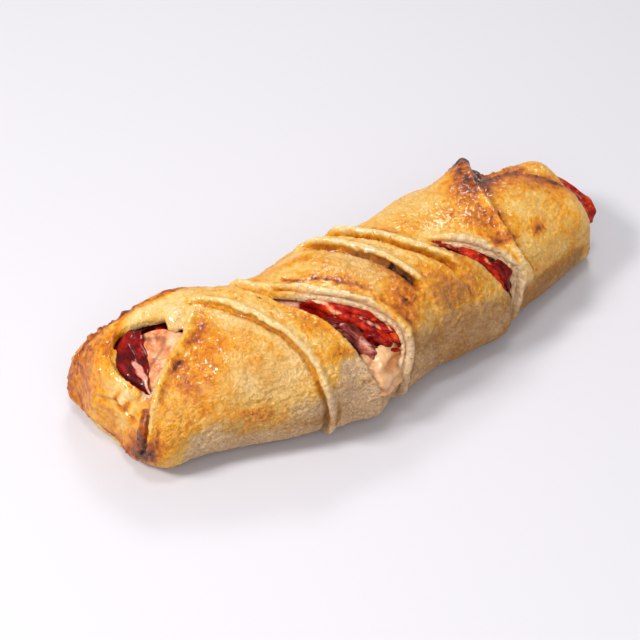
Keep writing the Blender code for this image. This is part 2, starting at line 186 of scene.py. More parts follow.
def newObject(name, points, faces):  # points in roll millimetres
    mesh = bpy.data.meshes.new(name)
    mesh.from_pydata([tuple(p) for p in (np.asarray(points) + rollStart) * mm], [], faces)
    work = bmesh.new()
    work.from_mesh(mesh)
    bmesh.ops.recalc_face_normals(work, faces=work.faces[:])
    if work.calc_volume(signed=True) < 0:
        bmesh.ops.reverse_faces(work, faces=work.faces[:])
    work.to_mesh(mesh)
    work.free()
    made = bpy.data.objects.new(name, mesh)
    bpy.context.scene.collection.objects.link(made)
    return made


def loft(name, rings):  # a closed body through rings of the same number of points
    count, around = len(rings), len(rings[0])
    faces = [tuple(range(around))[::-1], tuple(range((count - 1) * around, count * around))]
    for i in range(count - 1):
        for j in range(around):
            k = (j + 1) % around
            faces.append((i * around + j, i * around + k, (i + 1) * around + k, (i + 1) * around + j))
    return newObject(name, [p for ring in rings for p in ring], faces)


def joined(name, parts):  # several closed bodies as the shells of one mesh
    bpy.ops.object.select_all(action="DESELECT")
    for part in parts:
        part.select_set(True)
    bpy.context.view_layer.objects.active = parts[0]
    bpy.ops.object.join()
    parts[0].name = name
    return parts[0]


def applied(target):  # the modifiers become the mesh
    bpy.context.view_layer.update()
    graph = bpy.context.evaluated_depsgraph_get()
    mesh = bpy.data.meshes.new_from_object(target.evaluated_get(graph))
    target.modifiers.clear()
    target.data = mesh
    return target


def melted(target, voxel):  # one skin round everything in the mesh
    remesh = target.modifiers.new("melt", "REMESH")
    remesh.mode = "VOXEL"
    remesh.voxel_size = voxel * mm
    return applied(target)


def cutBy(target, cutter, operation="DIFFERENCE"):
    cut = target.modifiers.new("cut", "BOOLEAN")
    cut.operation = operation
    cut.object = cutter
    cut.solver = "MANIFOLD"
    applied(target)
    bpy.data.objects.remove(cutter)
    return target


def pointsOf(target):
    numbers = np.empty(len(target.data.vertices) * 3, np.float32)
    target.data.vertices.foreach_get("co", numbers)
    return numbers.reshape(-1, 3).astype(float) / mm - rollStart


def normalsOf(target):
    numbers = np.empty(len(target.data.vertices) * 3, np.float32)
    target.data.vertex_normals.foreach_get("vector", numbers)
    return numbers.reshape(-1, 3).astype(float)


def setPoints(target, points):
    target.data.vertices.foreach_set("co", ((points + rollStart) * mm).astype(np.float32).ravel())
    target.data.update()


def mark(target, name, values):  # a number at each point, which a material reads by name
    layer = target.data.attributes.get(name) or target.data.attributes.new(name, "FLOAT", "POINT")
    layer.data.foreach_set("value", np.asarray(values, np.float32))


def smoothed(target, steps):
    work = bmesh.new()
    work.from_mesh(target.data)
    for _ in range(steps):
        bmesh.ops.smooth_vert(
            work, verts=work.verts, factor=0.5, use_axis_x=True, use_axis_y=True, use_axis_z=True
        )
    work.to_mesh(target.data)
    work.free()
    return target


def shadeSmooth(target):
    target.data.polygons.foreach_set("use_smooth", [True] * len(target.data.polygons))


# Strips of dough. Edges are (distance along, angle round), and their sizes are in millimetres.
dough = {
    "voxel": 0.75,
    "crust": 5.0,
    "deep": 7.5,
    "flapRim": [
        (10, -53), (10, 0), (13, 28), (18, 43), (18, 54), (15, 68), (14, 80), (16, 92), (21, 104),
        (27, 113), (38, 124),
    ],
    "flapFoot": [
        (4, -53), (4, 0), (4, 28), (4, 43), (4, 54), (4, 68), (4, 80), (4, 92), (4, 104), (5, 113),
        (6, 124),
    ],
    "frontLeft": [
        (1, -53), (1, 6), (5, 24), (12, 41), (21, 54), (27, 64), (34, 73), (41, 81), (48, 88), (53, 95),
        (60, 104),
    ],
    "frontRight": [
        (113, -53), (111, 6), (110, 24), (108, 41), (106, 54), (103, 64), (99, 73), (94, 81), (88, 88),
        (82, 95), (74, 104),
    ],
    "backFlapEdge": [(22, 122), (29, 113), (38, 111), (47, 105), (57, 102), (67, 105), (76, 108)],
    "backFlapFoot": [(16, 160), (26, 160), (38, 160), (48, 160), (58, 160), (68, 160), (80, 160)],
    "secondLeft": [
        (101, -53), (99, 5), (97, 30), (95, 50), (90, 68), (83, 82), (73, 95), (62, 107), (54, 128),
        (50, 165),
    ],
    "secondRight": [
        (131, -53), (129, 5), (124, 30), (120, 50), (115, 68), (107, 82), (100, 91), (99, 103),
        (98, 128), (95, 165),
    ],
    "thirdLeft": [
        (140, -53), (142, 6), (146, 20), (146, 36), (141, 52), (134, 66), (124, 77), (112, 87),
        (101, 95), (92, 105), (84, 130), (80, 165),
    ],
    "thirdRight": [
        (180, -53), (180, 6), (180, 20), (180, 36), (178, 52), (174, 66), (168, 78), (161, 90),
        (154, 102), (146, 118), (134, 140), (128, 165),
    ],
    "fourthLeft": [
        (172, -53), (172, 0), (172, 30), (170, 52), (167, 68), (160, 86), (150, 102), (140, 119),
        (130, 140), (124, 165),
    ],
    "fourthRight": [
        (203, -53), (203, 0), (203, 30), (202, 50), (198, 66), (189, 82), (177, 98), (168, 112),
        (158, 138), (152, 165),
    ],
    "fifthLeft": [
        (194, -53), (195, 0), (196, 30), (195, 50), (191, 65), (182, 80), (170, 95), (161, 109),
        (152, 135), (146, 165),
    ],
    "fifthRight": [
        (223, -53), (222, 8), (218, 24), (213, 42), (205, 58), (196, 73), (187, 87), (177, 107),
        (168, 130), (160, 165),
    ],
    "cornerLeft": [
        (221, -53), (222, -10), (226, 8), (229, 20), (226, 34), (219, 50), (210, 63), (200, 74),
        (189, 84), (179, 99), (171, 117), (164, 140), (158, 165),
    ],
    "cornerRight": [
        (236, -53), (236, -10), (238, 8), (240, 20), (237, 34), (234, 50), (233, 63), (234, 75),
        (236, 87), (240, 102), (245, 118), (251, 134), (254, 165),
    ],
    "wrapTop": [
        (228, 118), (246, 117), (256, 114), (267, 111), (277, 101), (284, 90), (290, 80), (294, 74),
    ],
    "wrapFoot": [
        (227, -53), (238, -53), (250, -53), (262, -53), (274, -53), (282, -53), (289, -53), (294, -53),
    ],
    "rimEdge": [(246, 113), (258, 112), (269, 107), (279, 98), (287, 87), (292, 78)],
    "rimFoot": [(248, 165), (258, 165), (268, 165), (278, 165), (287, 165), (294, 165)],
}


def stripSection(width, lip, leftLift, rightLift, crown, reach, deep):
    lip = min(lip, width / 5)
    inner = np.linspace(0, 1, 22)[1:-1]
    middle = lip + inner * (width - 2 * lip)
    leftShare = np.exp(-(((middle - lip) / reach) ** 2))
    rightShare = np.exp(-(((width - lip - middle) / reach) ** 2))
    top = -leftLift * leftShare - rightLift * rightShare - crown * np.sin(np.pi * inner)
    turns = np.radians(np.linspace(-60, 90, 9))
    curve = [(lip - lip * math.cos(a), lip - lip * math.sin(a) - leftLift) for a in turns]
    leftEdge = [(0.9 * lip, deep)] + curve
    rightEdge = [(width - s, d + leftLift - rightLift) for s, d in reversed(curve)]
    rightEdge = rightEdge + [(width - 0.9 * lip, deep)]
    return np.array(leftEdge + list(zip(middle, top)) + rightEdge)


def strip(
    name, left, right, lifts=(0, 0), crown=1.0, reach=9.0, lip=2.6,
    fade=(0, 0), deep=7.5, tuck=0, peak=(0, 0), wobble=0.5,
):  # a strip of dough between two edges, whose edges can lift, swell, fade out and tuck under
    left, right = dough[left], dough[right]
    fine = np.linspace(0, len(left) - 1, 400)
    steps = np.diff(smoothPath(left, fine) + smoothPath(right, fine), axis=0) / 2
    travelled = np.concatenate([[0], np.cumsum(np.hypot(steps[:, 0], roll["mmPerDegree"] * steps[:, 1]))])
    count = int(travelled[-1] / 2.2)
    marks = np.interp(np.linspace(0, travelled[-1], count), travelled, fine)
    lefts, rights = smoothPath(left, marks), smoothPath(right, marks)
    seed = sum(map(ord, name)) % 97
    rings = []
    for i, (a, b) in enumerate(zip(lefts, rights)):
        t = i / (count - 1)
        held = share(t, 0, max(fade[0], 1e-6)) * share(1 - t, 0, max(fade[1], 1e-6))
        width = math.hypot(b[0] - a[0], roll["mmPerDegree"] * (b[1] - a[1]))
        standing = peak[1] * math.exp(-(((t - peak[0]) / 0.11) ** 2))
        mmAlong = t * travelled[-1]
        sizes = (16, 16, 6, 6, 22)
        uneven = [noise.noise(Vector((mmAlong / size, seed, k))) for k, size in enumerate(sizes)]
        thisLip = lip * (1 + 0.28 * uneven[4])
        leftLift = lifts[0] * held + wobble * 0.8 * uneven[0]
        rightLift = lifts[1] * held + standing + wobble * 0.8 * uneven[1]
        section = stripSection(width, thisLip, leftLift, rightLift, crown, reach, deep)
        s, depth = section.T
        spots = a + (s / width)[:, None] * (b - a)
        nearLeft, nearRight = np.exp(-s / 5), np.exp(-(width - s) / 5)
        across = (b - a) / max(width, 1)
        leftShift = nearLeft * (uneven[0] + 0.6 * uneven[2])
        rightShift = nearRight * (uneven[1] + 0.6 * uneven[3])
        shift = wobble * (leftShift + rightShift)
        spots = spots + shift[:, None] * across
        depth = depth - puffs(spots[:, 0], spots[:, 1]) + tuck * share(t, 0.75, 1)
        rings.append(place(spots[:, 0], spots[:, 1], depth))
    return loft(name, rings)


def doughStrips():
    return [
        strip("endFlap", "flapFoot", "flapRim", lifts=(0, 0.6), crown=0.8, lip=2.2, deep=5),
        strip(
            "frontStrip", "frontLeft", "frontRight",
            lifts=(2.6, -1.5), crown=0.6, lip=3.4, reach=10, wobble=0.9,
        ),
        strip("backFlap", "backFlapEdge", "backFlapFoot", lifts=(1.2, -3), crown=0.4),
        strip("secondStrip", "secondLeft", "secondRight", lifts=(2.4, -1.2), fade=(0, 0.2), tuck=2.5),
        strip("thirdStrip", "thirdLeft", "thirdRight", lifts=(1.6, -1.0), lip=4.2, fade=(0, 0.2), tuck=2.5),
        strip(
            "fourthStrip", "fourthLeft", "fourthRight",
            lifts=(2.2, -0.6), crown=0.6, fade=(0.6, 0.2), tuck=2.5,
        ),
        strip(
            "fifthStrip", "fifthLeft", "fifthRight",
            lifts=(1.8, 0.2), crown=0.6, fade=(0.6, 0.2), tuck=2.5,
        ),
        strip(
            "cornerFlap", "cornerLeft", "cornerRight",
            lifts=(0.2, 2.2), crown=0.3, reach=14, lip=4, fade=(0.45, 0), tuck=3, peak=(0.83, 8),
        ),
        strip("endWrap", "wrapTop", "wrapFoot", lifts=(0.4, 0), crown=0, reach=14),
        strip("backRim", "rimEdge", "rimFoot", lifts=(-1.2, -3), crown=1.0, wobble=1.2),
    ]


def doughBase():  # the body under the strips, sunk where they lie over it
    alongs = np.concatenate([np.linspace(0.9, 14, 12), np.linspace(16, 284, 90), np.linspace(286, 299.1, 12)])
    angles = np.linspace(-180, 176, 90)
    gridAlong, gridAngle = np.meshgrid(alongs, angles, indexing="ij")
    backLimit = 112 + 24 * share(gridAlong, 60, 85) * (1 - share(gridAlong, 232, 246))
    openFront = share(gridAngle, 0, 8) * (1 - share(gridAngle, backLimit, backLimit + 12))
    openLength = share(gridAlong, 10, 16) * (1 - share(gridAlong, 286, 292))
    front = share(gridAngle, -60, -45) * (1 - share(gridAngle, 60, 90)) * share(gridAlong, 12, 20)
    under = share(-gridAngle, 50, 60) * share(gridAngle, -130, -120)
    depth = (0.6 + 1.6 * front * (1 - share(gridAlong, 270, 285))) * (1 - under)
    depth = depth + (dough["deep"] + 1 - depth) * openFront * openLength
    behind = np.where(gridAngle < -90, gridAngle + 360, gridAngle)
    return loft("crust", place(gridAlong, gridAngle, depth - puffs(gridAlong, behind), floor=0))


def hollow(name, depth, ends):  # the room inside, as deep as this under the skin and open at one end
    middle = np.linspace(22, 282, 40)
    alongs = np.concatenate([depth + np.array([5, 8, 12]), middle, [along for along, _ in ends]])
    shrink = np.concatenate([np.zeros(3 + len(middle)), [less for _, less in ends]])
    angles = np.array([-180, -150, -130, -90, -50, -30, *np.arange(-15, 180, 7.5)])
    gridAlong, gridAngle = np.meshgrid(alongs, angles, indexing="ij")
    spots = place(gridAlong, gridAngle, depth + shrink[:, None], ends=(True, False))
    turn = np.radians(gridAngle)
    rise = np.where(gridAngle < 0, 10 + 9 * np.cos(turn) ** 2, 19 + 7 * np.sin(turn))
    doorstep = depth + 1 + rise * share(gridAlong, 276, 292)
    doorstep = doorstep + np.where(gridAngle < 0, 0.5, 0) * shrink[:, None]
    spots[..., 2] = np.maximum(spots[..., 2], doorstep)
    return loft(name, spots)


def ball(name, middle, size, turn=(0, 0, 0)):
    bpy.ops.mesh.primitive_uv_sphere_add(segments=32, ring_count=20, radius=1)
    made = bpy.context.object
    made.name = name
    made.scale = [mm * s for s in size]
    made.rotation_euler = [math.radians(a) for a in turn]
    made.location = mm * (middle + rollStart)
    bpy.context.view_layer.update()
    made.data.transform(made.matrix_world)
    made.matrix_world.identity()
    return made


def flapCorner():  # the corner that stands up where the flap ends
    angles = np.radians(np.arange(0, 360, 12))
    around = [np.array([math.cos(a), 0.55 * math.sin(a), -0.3 * math.sin(a)]) for a in angles]
    rings = []
    for t in np.linspace(0, 1, 18):
        radius = 9 * (1 - t) ** 0.9 + 2.1
        middle = place(240 + 5 * t, 122 + 9 * t, 2 - 12 * t)
        rings.append([middle + radius * spoke for spoke in around])
    return loft("flapCorner", rings)


def rope(name, path, depth, radii):  # a rounded roll of dough along a path on the skin
    t = np.linspace(0, len(path) - 1, 12 * len(path))
    along, angle = smoothPath(path, t).T
    middle = place(along, angle, depth)
    outward = place(along, angle, depth - 1) - middle
    outward = outward / np.linalg.norm(outward, axis=1, keepdims=True)
    ahead = np.gradient(middle, axis=0)
    sideways = np.cross(ahead / np.linalg.norm(ahead, axis=1, keepdims=True), outward)
    radius = np.interp(t, np.arange(len(path)), radii)
    turns = np.radians(np.arange(0, 360, 24))[:, None]
    rings = []
    for centre, size, s, o in zip(middle, radius, sideways, outward):
        rings.append(centre + size * (np.cos(turns) * s + np.sin(turns) * o))
    return loft(name, rings)


# Small forms that stand on the strips: (path, depth, radius at each corner of the path).
ropes = {
    "tipEdge": ([(11.5, 38), (9, 32), (6, 25), (3, 17), (1.5, 7)], -2.2, [0.7, 2.0, 2.6, 2.7, 1.4]),
    "curl": ([(5, 61), (9, 60), (13, 55), (12, 49), (7, 46)], -0.6, [0.8, 2.6, 3.0, 2.6, 0.8]),
}
# Blisters along the back edges: (along, angle, size).
knobs = [
    (17, 137, 2.6), (23, 139, 3.0), (29, 136, 2.2), (36, 137, 2.8), (42, 134, 2.2), (52, 131, 2.8),
    (60, 128, 2.4), (8, 134, 2.4), (98, 126, 2.2), (9, 20, 2.0), (6, 12, 2.2), (3, 4, 2.0), (9, 8, 1.8),
    (252, 126, 2.6), (259, 122, 2.4), (267, 119, 2.6), (275, 114, 2.2), (283, 107, 2.4), (247, 138, 2.4),
    (244, 129, 2.0), (12, -4, 2.2), (18, 1, 2.4), (14, 10, 2.0), (19, 12, 1.8), (23, 5, 2.0),
]


def bevel(name, low, high, lowDepth, highDepth, deep=8.0):  # a sloping inner face between two lines
    t = np.linspace(0, len(low) - 1, 40)
    lows, highs = smoothPath(low, t), smoothPath(high, t)
    rings = []
    for a, b in zip(lows, highs):
        u = np.linspace(0, 1, 9)
        spots = a + u[:, None] * (b - a)
        top = lowDepth + (highDepth - lowDepth) * u - 0.5 * np.sin(math.pi * u)
        upper = place(spots[:, 0], spots[:, 1], top)
        lower = place(spots[:, 0], spots[:, 1], np.full(9, deep))
        rings.append(np.concatenate([upper, lower[::-1]]))
    return loft(name, rings)


# Inner faces of the flaps, which slope down to the filling: (lower line, upper line, depth of each).
bevels = {
    "cornerInside": (
        [(201, 80), (208, 72), (214, 62), (219, 50), (222, 41), (223, 32), (223, 22), (224, 8)],
        [(204, 82), (212, 74), (219, 64), (226, 52), (231, 42), (234, 32), (237, 20), (237, 6)], 4.4, 1.6,
    ),
    "flapInside": (
        [(22, 100), (18, 90), (16, 80), (16, 68), (17, 58), (18, 50)],
        [(16, 100), (12, 90), (10, 80), (10, 68), (12, 56), (14, 48)], 3.8, 1.0,
    ),
}


def makeCrust():
    parts = [bevel(name, *shape) for name, shape in bevels.items()]
    parts = parts + [doughBase()] + doughStrips()
    parts = parts + [rope(name, *shape) for name, shape in ropes.items()]
    parts.append(ball("tuckedLump", place(53, 101, 1.6), (6.5, 5.5, 4.4), turn=(0, 10, 30)))
    parts.append(ball("smallLump", place(50, 96, 2.4), (4.0, 4.0, 3.4)))
    parts.append(ball("brownedCorner", np.array([17, -2, 8.2]), (9, 9, 8)))
    parts.append(flapCorner())
    for along, angle, size in knobs:
        parts.append(ball("blister", place(along, angle, 0.6), (size, size * 0.85, size * 0.6)))
    crust = melted(joined("crust", parts), dough["voxel"])
    cutBy(crust, hollow("room", dough["crust"], [(288, 0), (294, 0), (300, 0), (312, 0)]))
    return melted(crust, dough["voxel"])


def beside(along, angle, path):  # signed distance in mm to the right of an edge that runs round the roll
    places, angles = np.array(path, float).T
    order = np.argsort(angles)
    here = np.interp(angle, angles[order], places[order])
    slope = (np.interp(angle + 1, angles[order], places[order]) - here) / roll["mmPerDegree"]
    return (along - here) / np.sqrt(1 + slope**2)


def above(along, angle, path):  # signed distance in mm behind an edge that runs along the roll
    places, angles = np.array(path, float).T
    return (angle - np.interp(along, places, angles)) * roll["mmPerDegree"]


def patch(along, angle, spot):  # 1 in the middle of a soft oval patch, 0 outside it
    at, turn, long, short, tilt = spot
    u, v = along - at, (angle - turn) * roll["mmPerDegree"]
    c, s = math.cos(math.radians(tilt)), math.sin(math.radians(tilt))
    return np.exp(-(((u * c + v * s) / long) ** 2 + ((v * c - u * s) / short) ** 2))


def nearPath(points, path, depth):  # distance in mm to a line on the skin
    nearest = np.full(len(points), 1e3)
    for spot in place(*smoothPath(path, np.linspace(0, len(path) - 1, 40)).T, depth):
        nearest = np.minimum(nearest, np.linalg.norm(points - spot, axis=1))
    return nearest


def ridge(distance, middle, width):  # 1 at this distance, falling off softly to both sides
    return np.exp(-(((distance - middle) / width) ** 2))


# Where the oven browned it: (distance along, angle, half length, half width, tilt), and how strong. Some
# brown patches are painted shade instead.
baking = {
    "gold": [
        ((62, 10, 16, 8, 0), 0.55), ((24, 56, 6, 4, 45), 0.5), ((38, 72, 8, 4, 45), 0.6),
        ((56, 80, 16, 10, 60), 0.55), ((47, 62, 15, 9, 60), 0.7), ((40, 46, 13, 10, 50), 0.7),
        ((60, 72, 9, 7, 40), 0.5), ((42, 30, 10, 9, 0), 0.4), ((60, 16, 14, 7, -10), 0.4),
        ((76, 6, 14, 6, 0), 0.4), ((78, 62, 9, 7, 0), 0.25), ((109, 66, 7, 10, 80), 0.75),
        ((104, 82, 10, 6, -50), 0.6), ((111, 46, 5, 9, 80), 0.35), ((150, 55, 14, 12, -30), 0.55),
        ((158, 70, 8, 6, -60), 0.45), ((135, 48, 6, 9, 0), 0.2), ((150, 100, 30, 12, -30), 0.12),
        ((184, 60, 8, 14, 0), 0.35), ((193, 96, 11, 5, -20), 0.6), ((218, 88, 14, 8, -20), 0.75),
        ((229, 78, 8, 8, 0), 0.75), ((228, 58, 6, 9, 90), 0.5), ((234, 106, 9, 14, 90), 0.8),
        ((240, 122, 10, 14, 0), 0.9), ((262, 96, 22, 9, -10), 0.75), ((282, 80, 10, 12, 0), 0.6),
        ((254, 52, 7, 5, 30), 0.6), ((280, 36, 5, 5, 0), 0.5), ((270, 60, 20, 14, 0), 0.3),
        ((244, 22, 5, 4, 0), 0.35), ((3, 100, 14, 18, 0), 0.75), ((5, 60, 12, 14, 0), 0.5),
        ((6, 20, 12, 16, 0), 0.7), ((14, 52, 5, 5, 0), 0.6), ((28, 12, 10, 8, 0), 0.35),
    ],
    "brownAndShade": [
        # The patches at (176, 42), (195, 38), (176, 58) and (188, 52) are painted shade, where the third and
        # fourth strips turn away from the light.
        ((9, 114, 8, 10, 0), 0.55), ((176, 42, 10, 10, 0), 0.22), ((195, 38, 7, 12, 90), 0.36),
        ((258, 6, 9, 6, 0), 0.35), ((276, 12, 7, 5, 20), 0.35), ((286, 2, 8, 6, 0), 0.3),
        ((284, 84, 6, 5, 0), 0.4), ((262, 122, 14, 5, 0), 0.4), ((9, 16, 6, 6, 0), 0.35),
        ((74, 77, 10, 8, 0), 0.16), ((157, 52, 9, 7, -30), 0.3), ((2, 150, 10, 18, 0), 0.7),
        ((1, 60, 5, 10, 0), 0.35), ((1, 20, 5, 14, 0), 0.5), ((24, 133, 14, 6, 0), 0.8),
        ((38, 131, 12, 5, 0), 0.7), ((56, 126, 10, 4, 0), 0.7), ((160, 60, 9, 7, -50), 0.5),
        ((176, 58, 9, 14, 0), 0.16), ((188, 52, 9, 14, 0), 0.35), ((196, 64, 7, 12, 0), 0.3),
        ((124, 40, 3.5, 12, 80), 0.4), ((124, 54, 4, 7, 80), 0.35), ((127, 18, 2.5, 10, 90), 0.4),
        ((120, 117, 6, 3, 0), 0.6), ((238, 100, 6, 12, 80), 0.45), ((244, 118, 7, 10, 0), 0.5),
        ((252, 55, 5, 4, 20), 0.35), ((270, 112, 20, 6, 0), 0.5), ((96, -3, 16, 5, 0), 0.5),
        ((160, 78, 9, 3, -55), 0.7), ((164, 66, 6, 2.6, -70), 0.8), ((158, 56, 4, 3, 0), 0.6),
        ((154, 50, 10, 8, 0), 0.25), ((128, 112, 7, 4, -20), 0.5), ((125, 93, 12, 2.2, -35), 0.4),
        ((138, 84, 6, 2, -45), 0.4), ((61, 131, 12, 5, 0), 0.55), ((28, 137, 10, 5, 0), 0.7),
        ((9, 135, 7, 9, 0), 0.5), ((18, 116, 9, 4, 50), 0.5), ((245, 128, 11, 8, 0), 0.6),
        ((236, 112, 5, 10, 80), 0.4), ((233, 60, 4, 16, 90), 0.35), ((231, 96, 8, 14, 80), 0.5),
        ((227, 76, 6, 13, 85), 0.5), ((227, 58, 4, 9, 90), 0.4), ((7, 10, 8, 9, 0), 0.5),
        ((2, -8, 8, 20, 0), 0.4), ((254, 52, 3.5, 2.5, 20), 0.3), ((42, 26, 3, 3, 0), 0.3),
        ((108, 160, 20, 20, 0), 0.3), ((262, 130, 18, 12, 0), 0.45),
    ],
    "burnt": [
        ((161, 81, 2.6, 1.5, -60), 0.95), ((164.5, 69, 4.5, 1.6, -70), 1.0),
        ((158, 56, 1.3, 1.1, 0), 0.8), ((113, 42, 0.9, 0.8, 0), 0.8), ((109, 90, 1.1, 0.6, -50), 0.7),
        ((104, 95, 0.9, 0.6, 0), 0.6), ((57, 128, 5, 1.8, 0), 0.6), ((24, 137, 6, 2.4, -20), 0.55),
        ((38, 134, 4, 1.8, 0), 0.5), ((60, 124, 3, 1.2, 0), 0.6), ((9, 136, 2.5, 2, 0), 0.6),
        ((250, 141, 3, 4, 0), 0.45), ((93, 95, 1.4, 0.8, 0), 0.8), ((145, 107, 1.8, 0.7, -40), 0.5),
        ((142, 103, 1.5, 0.6, 0), 0.4), ((3, 2, 2, 2, 0), 0.3), ((8, 12, 1.2, 1.2, 0), 0.3),
    ],
}


# Edges that show: name, from and to which angle, how strong, how far in the ridge stands, and its width.
edgeLines = [
    ("secondLeft", -34, 106, 1.0, 2.4, 1.8), ("frontLeft", 12, 100, 0.8, 3.6, 2.2),
    ("thirdLeft", -20, 62, 1.2, 4.8, 2.3), ("thirdLeft", 62, 98, 1.3, 4.4, 1.9),
    ("thirdLeft", 66, 92, 0.9, 8.4, 1.7), ("thirdLeft", 96, 125, 0.9, 2.2, 2.0),
    ("fourthLeft", 62, 128, 1.5, 2.1, 1.9), ("fifthLeft", 60, 132, 1.4, 2.0, 1.9),
    ("cornerLeft", -24, 84, 0.9, 4.0, 2.2), ("cornerRight", 10, 128, 1.1, 2.8, 2.6),
    ("secondRight", 10, 90, 0.4, 1.6, 1.6),
]

# Sides of the strips that face a gap, pale and floury: name, from and to which angle, and how wide.
gapSides = [("thirdLeft", 4, 90, 3.4), ("cornerLeft", 0, 78, 4.2), ("frontLeft", 50, 92, 2.0)]
# Flour lies below a line of (distance along, angle), and in patches. The second list of patches is painted
# shade, laid on in the flour's colour. In the pale ones the dough is raw.
flouring = {
    "line": [
        (0, -90), (18, -60), (30, 2), (45, 12), (70, 8), (95, 14), (112, 38), (125, 40), (150, 36), (180, 28),
        (205, 24), (235, 18), (270, 10), (300, -6),
    ],
    "thin": [((74, 42, 26, 26, 0), 0.4)],
    "paintedShade": [((152, 88, 20, 12, -30), 0.6), ((184, 42, 20, 12, 0), 0.85), ((74, 80, 12, 7, -30), 0.45)],
    "pale": [
        ((52, 100, 6, 6, 0), 1.2), ((44, 116, 14, 4, 0), 0.9),
        ((9, 68, 5, 8, 0), 0.9), ((4, 52, 4, 9, 0), 0.6),
    ],
}
# How much each thing browns the dough, from 0 for raw to 1 for black. Below 0 makes it paler. The entries for
# creases, steps, the corner seam and the floury flanks further along are painted shade, the one for edges is
# partly a painted highlight, and shade paints a strip beside some ridges a little paler.
browningAndShading = {
    "plain": 0.255, "gold": 0.20, "brownAndShade": 0.34, "flour": -0.10, "furtherFlankShade": 0.16,
    "edge": -0.13, "pooled": 0.14, "crease": 0.18, "shade": -0.05, "step": 0.2, "seamShadow": 0.42,
    "scorchedLine": 0.28, "rim": 0.3, "tip": 0.72, "curl": 0.34, "flap": 0.22, "foot": 0.34,
    "underneath": 0.46, "behind": 0.08, "lowEnd": 0.16, "golden": 0.13,
}
# The crease where the end flap is folded.
foldLine = [(3, 84), (4, 72), (5, 56), (6, 43), (8, 36), (10, 26)]


def between(value, startLow, startHigh, endLow, endHigh):  # 1 inside a range and 0 outside, with soft ends
    return share(value, startLow, startHigh) * (1 - share(value, endLow, endHigh))


def patches(along, angle, spots):
    return sum(strength * patch(along, angle, spot) for spot, strength in spots)


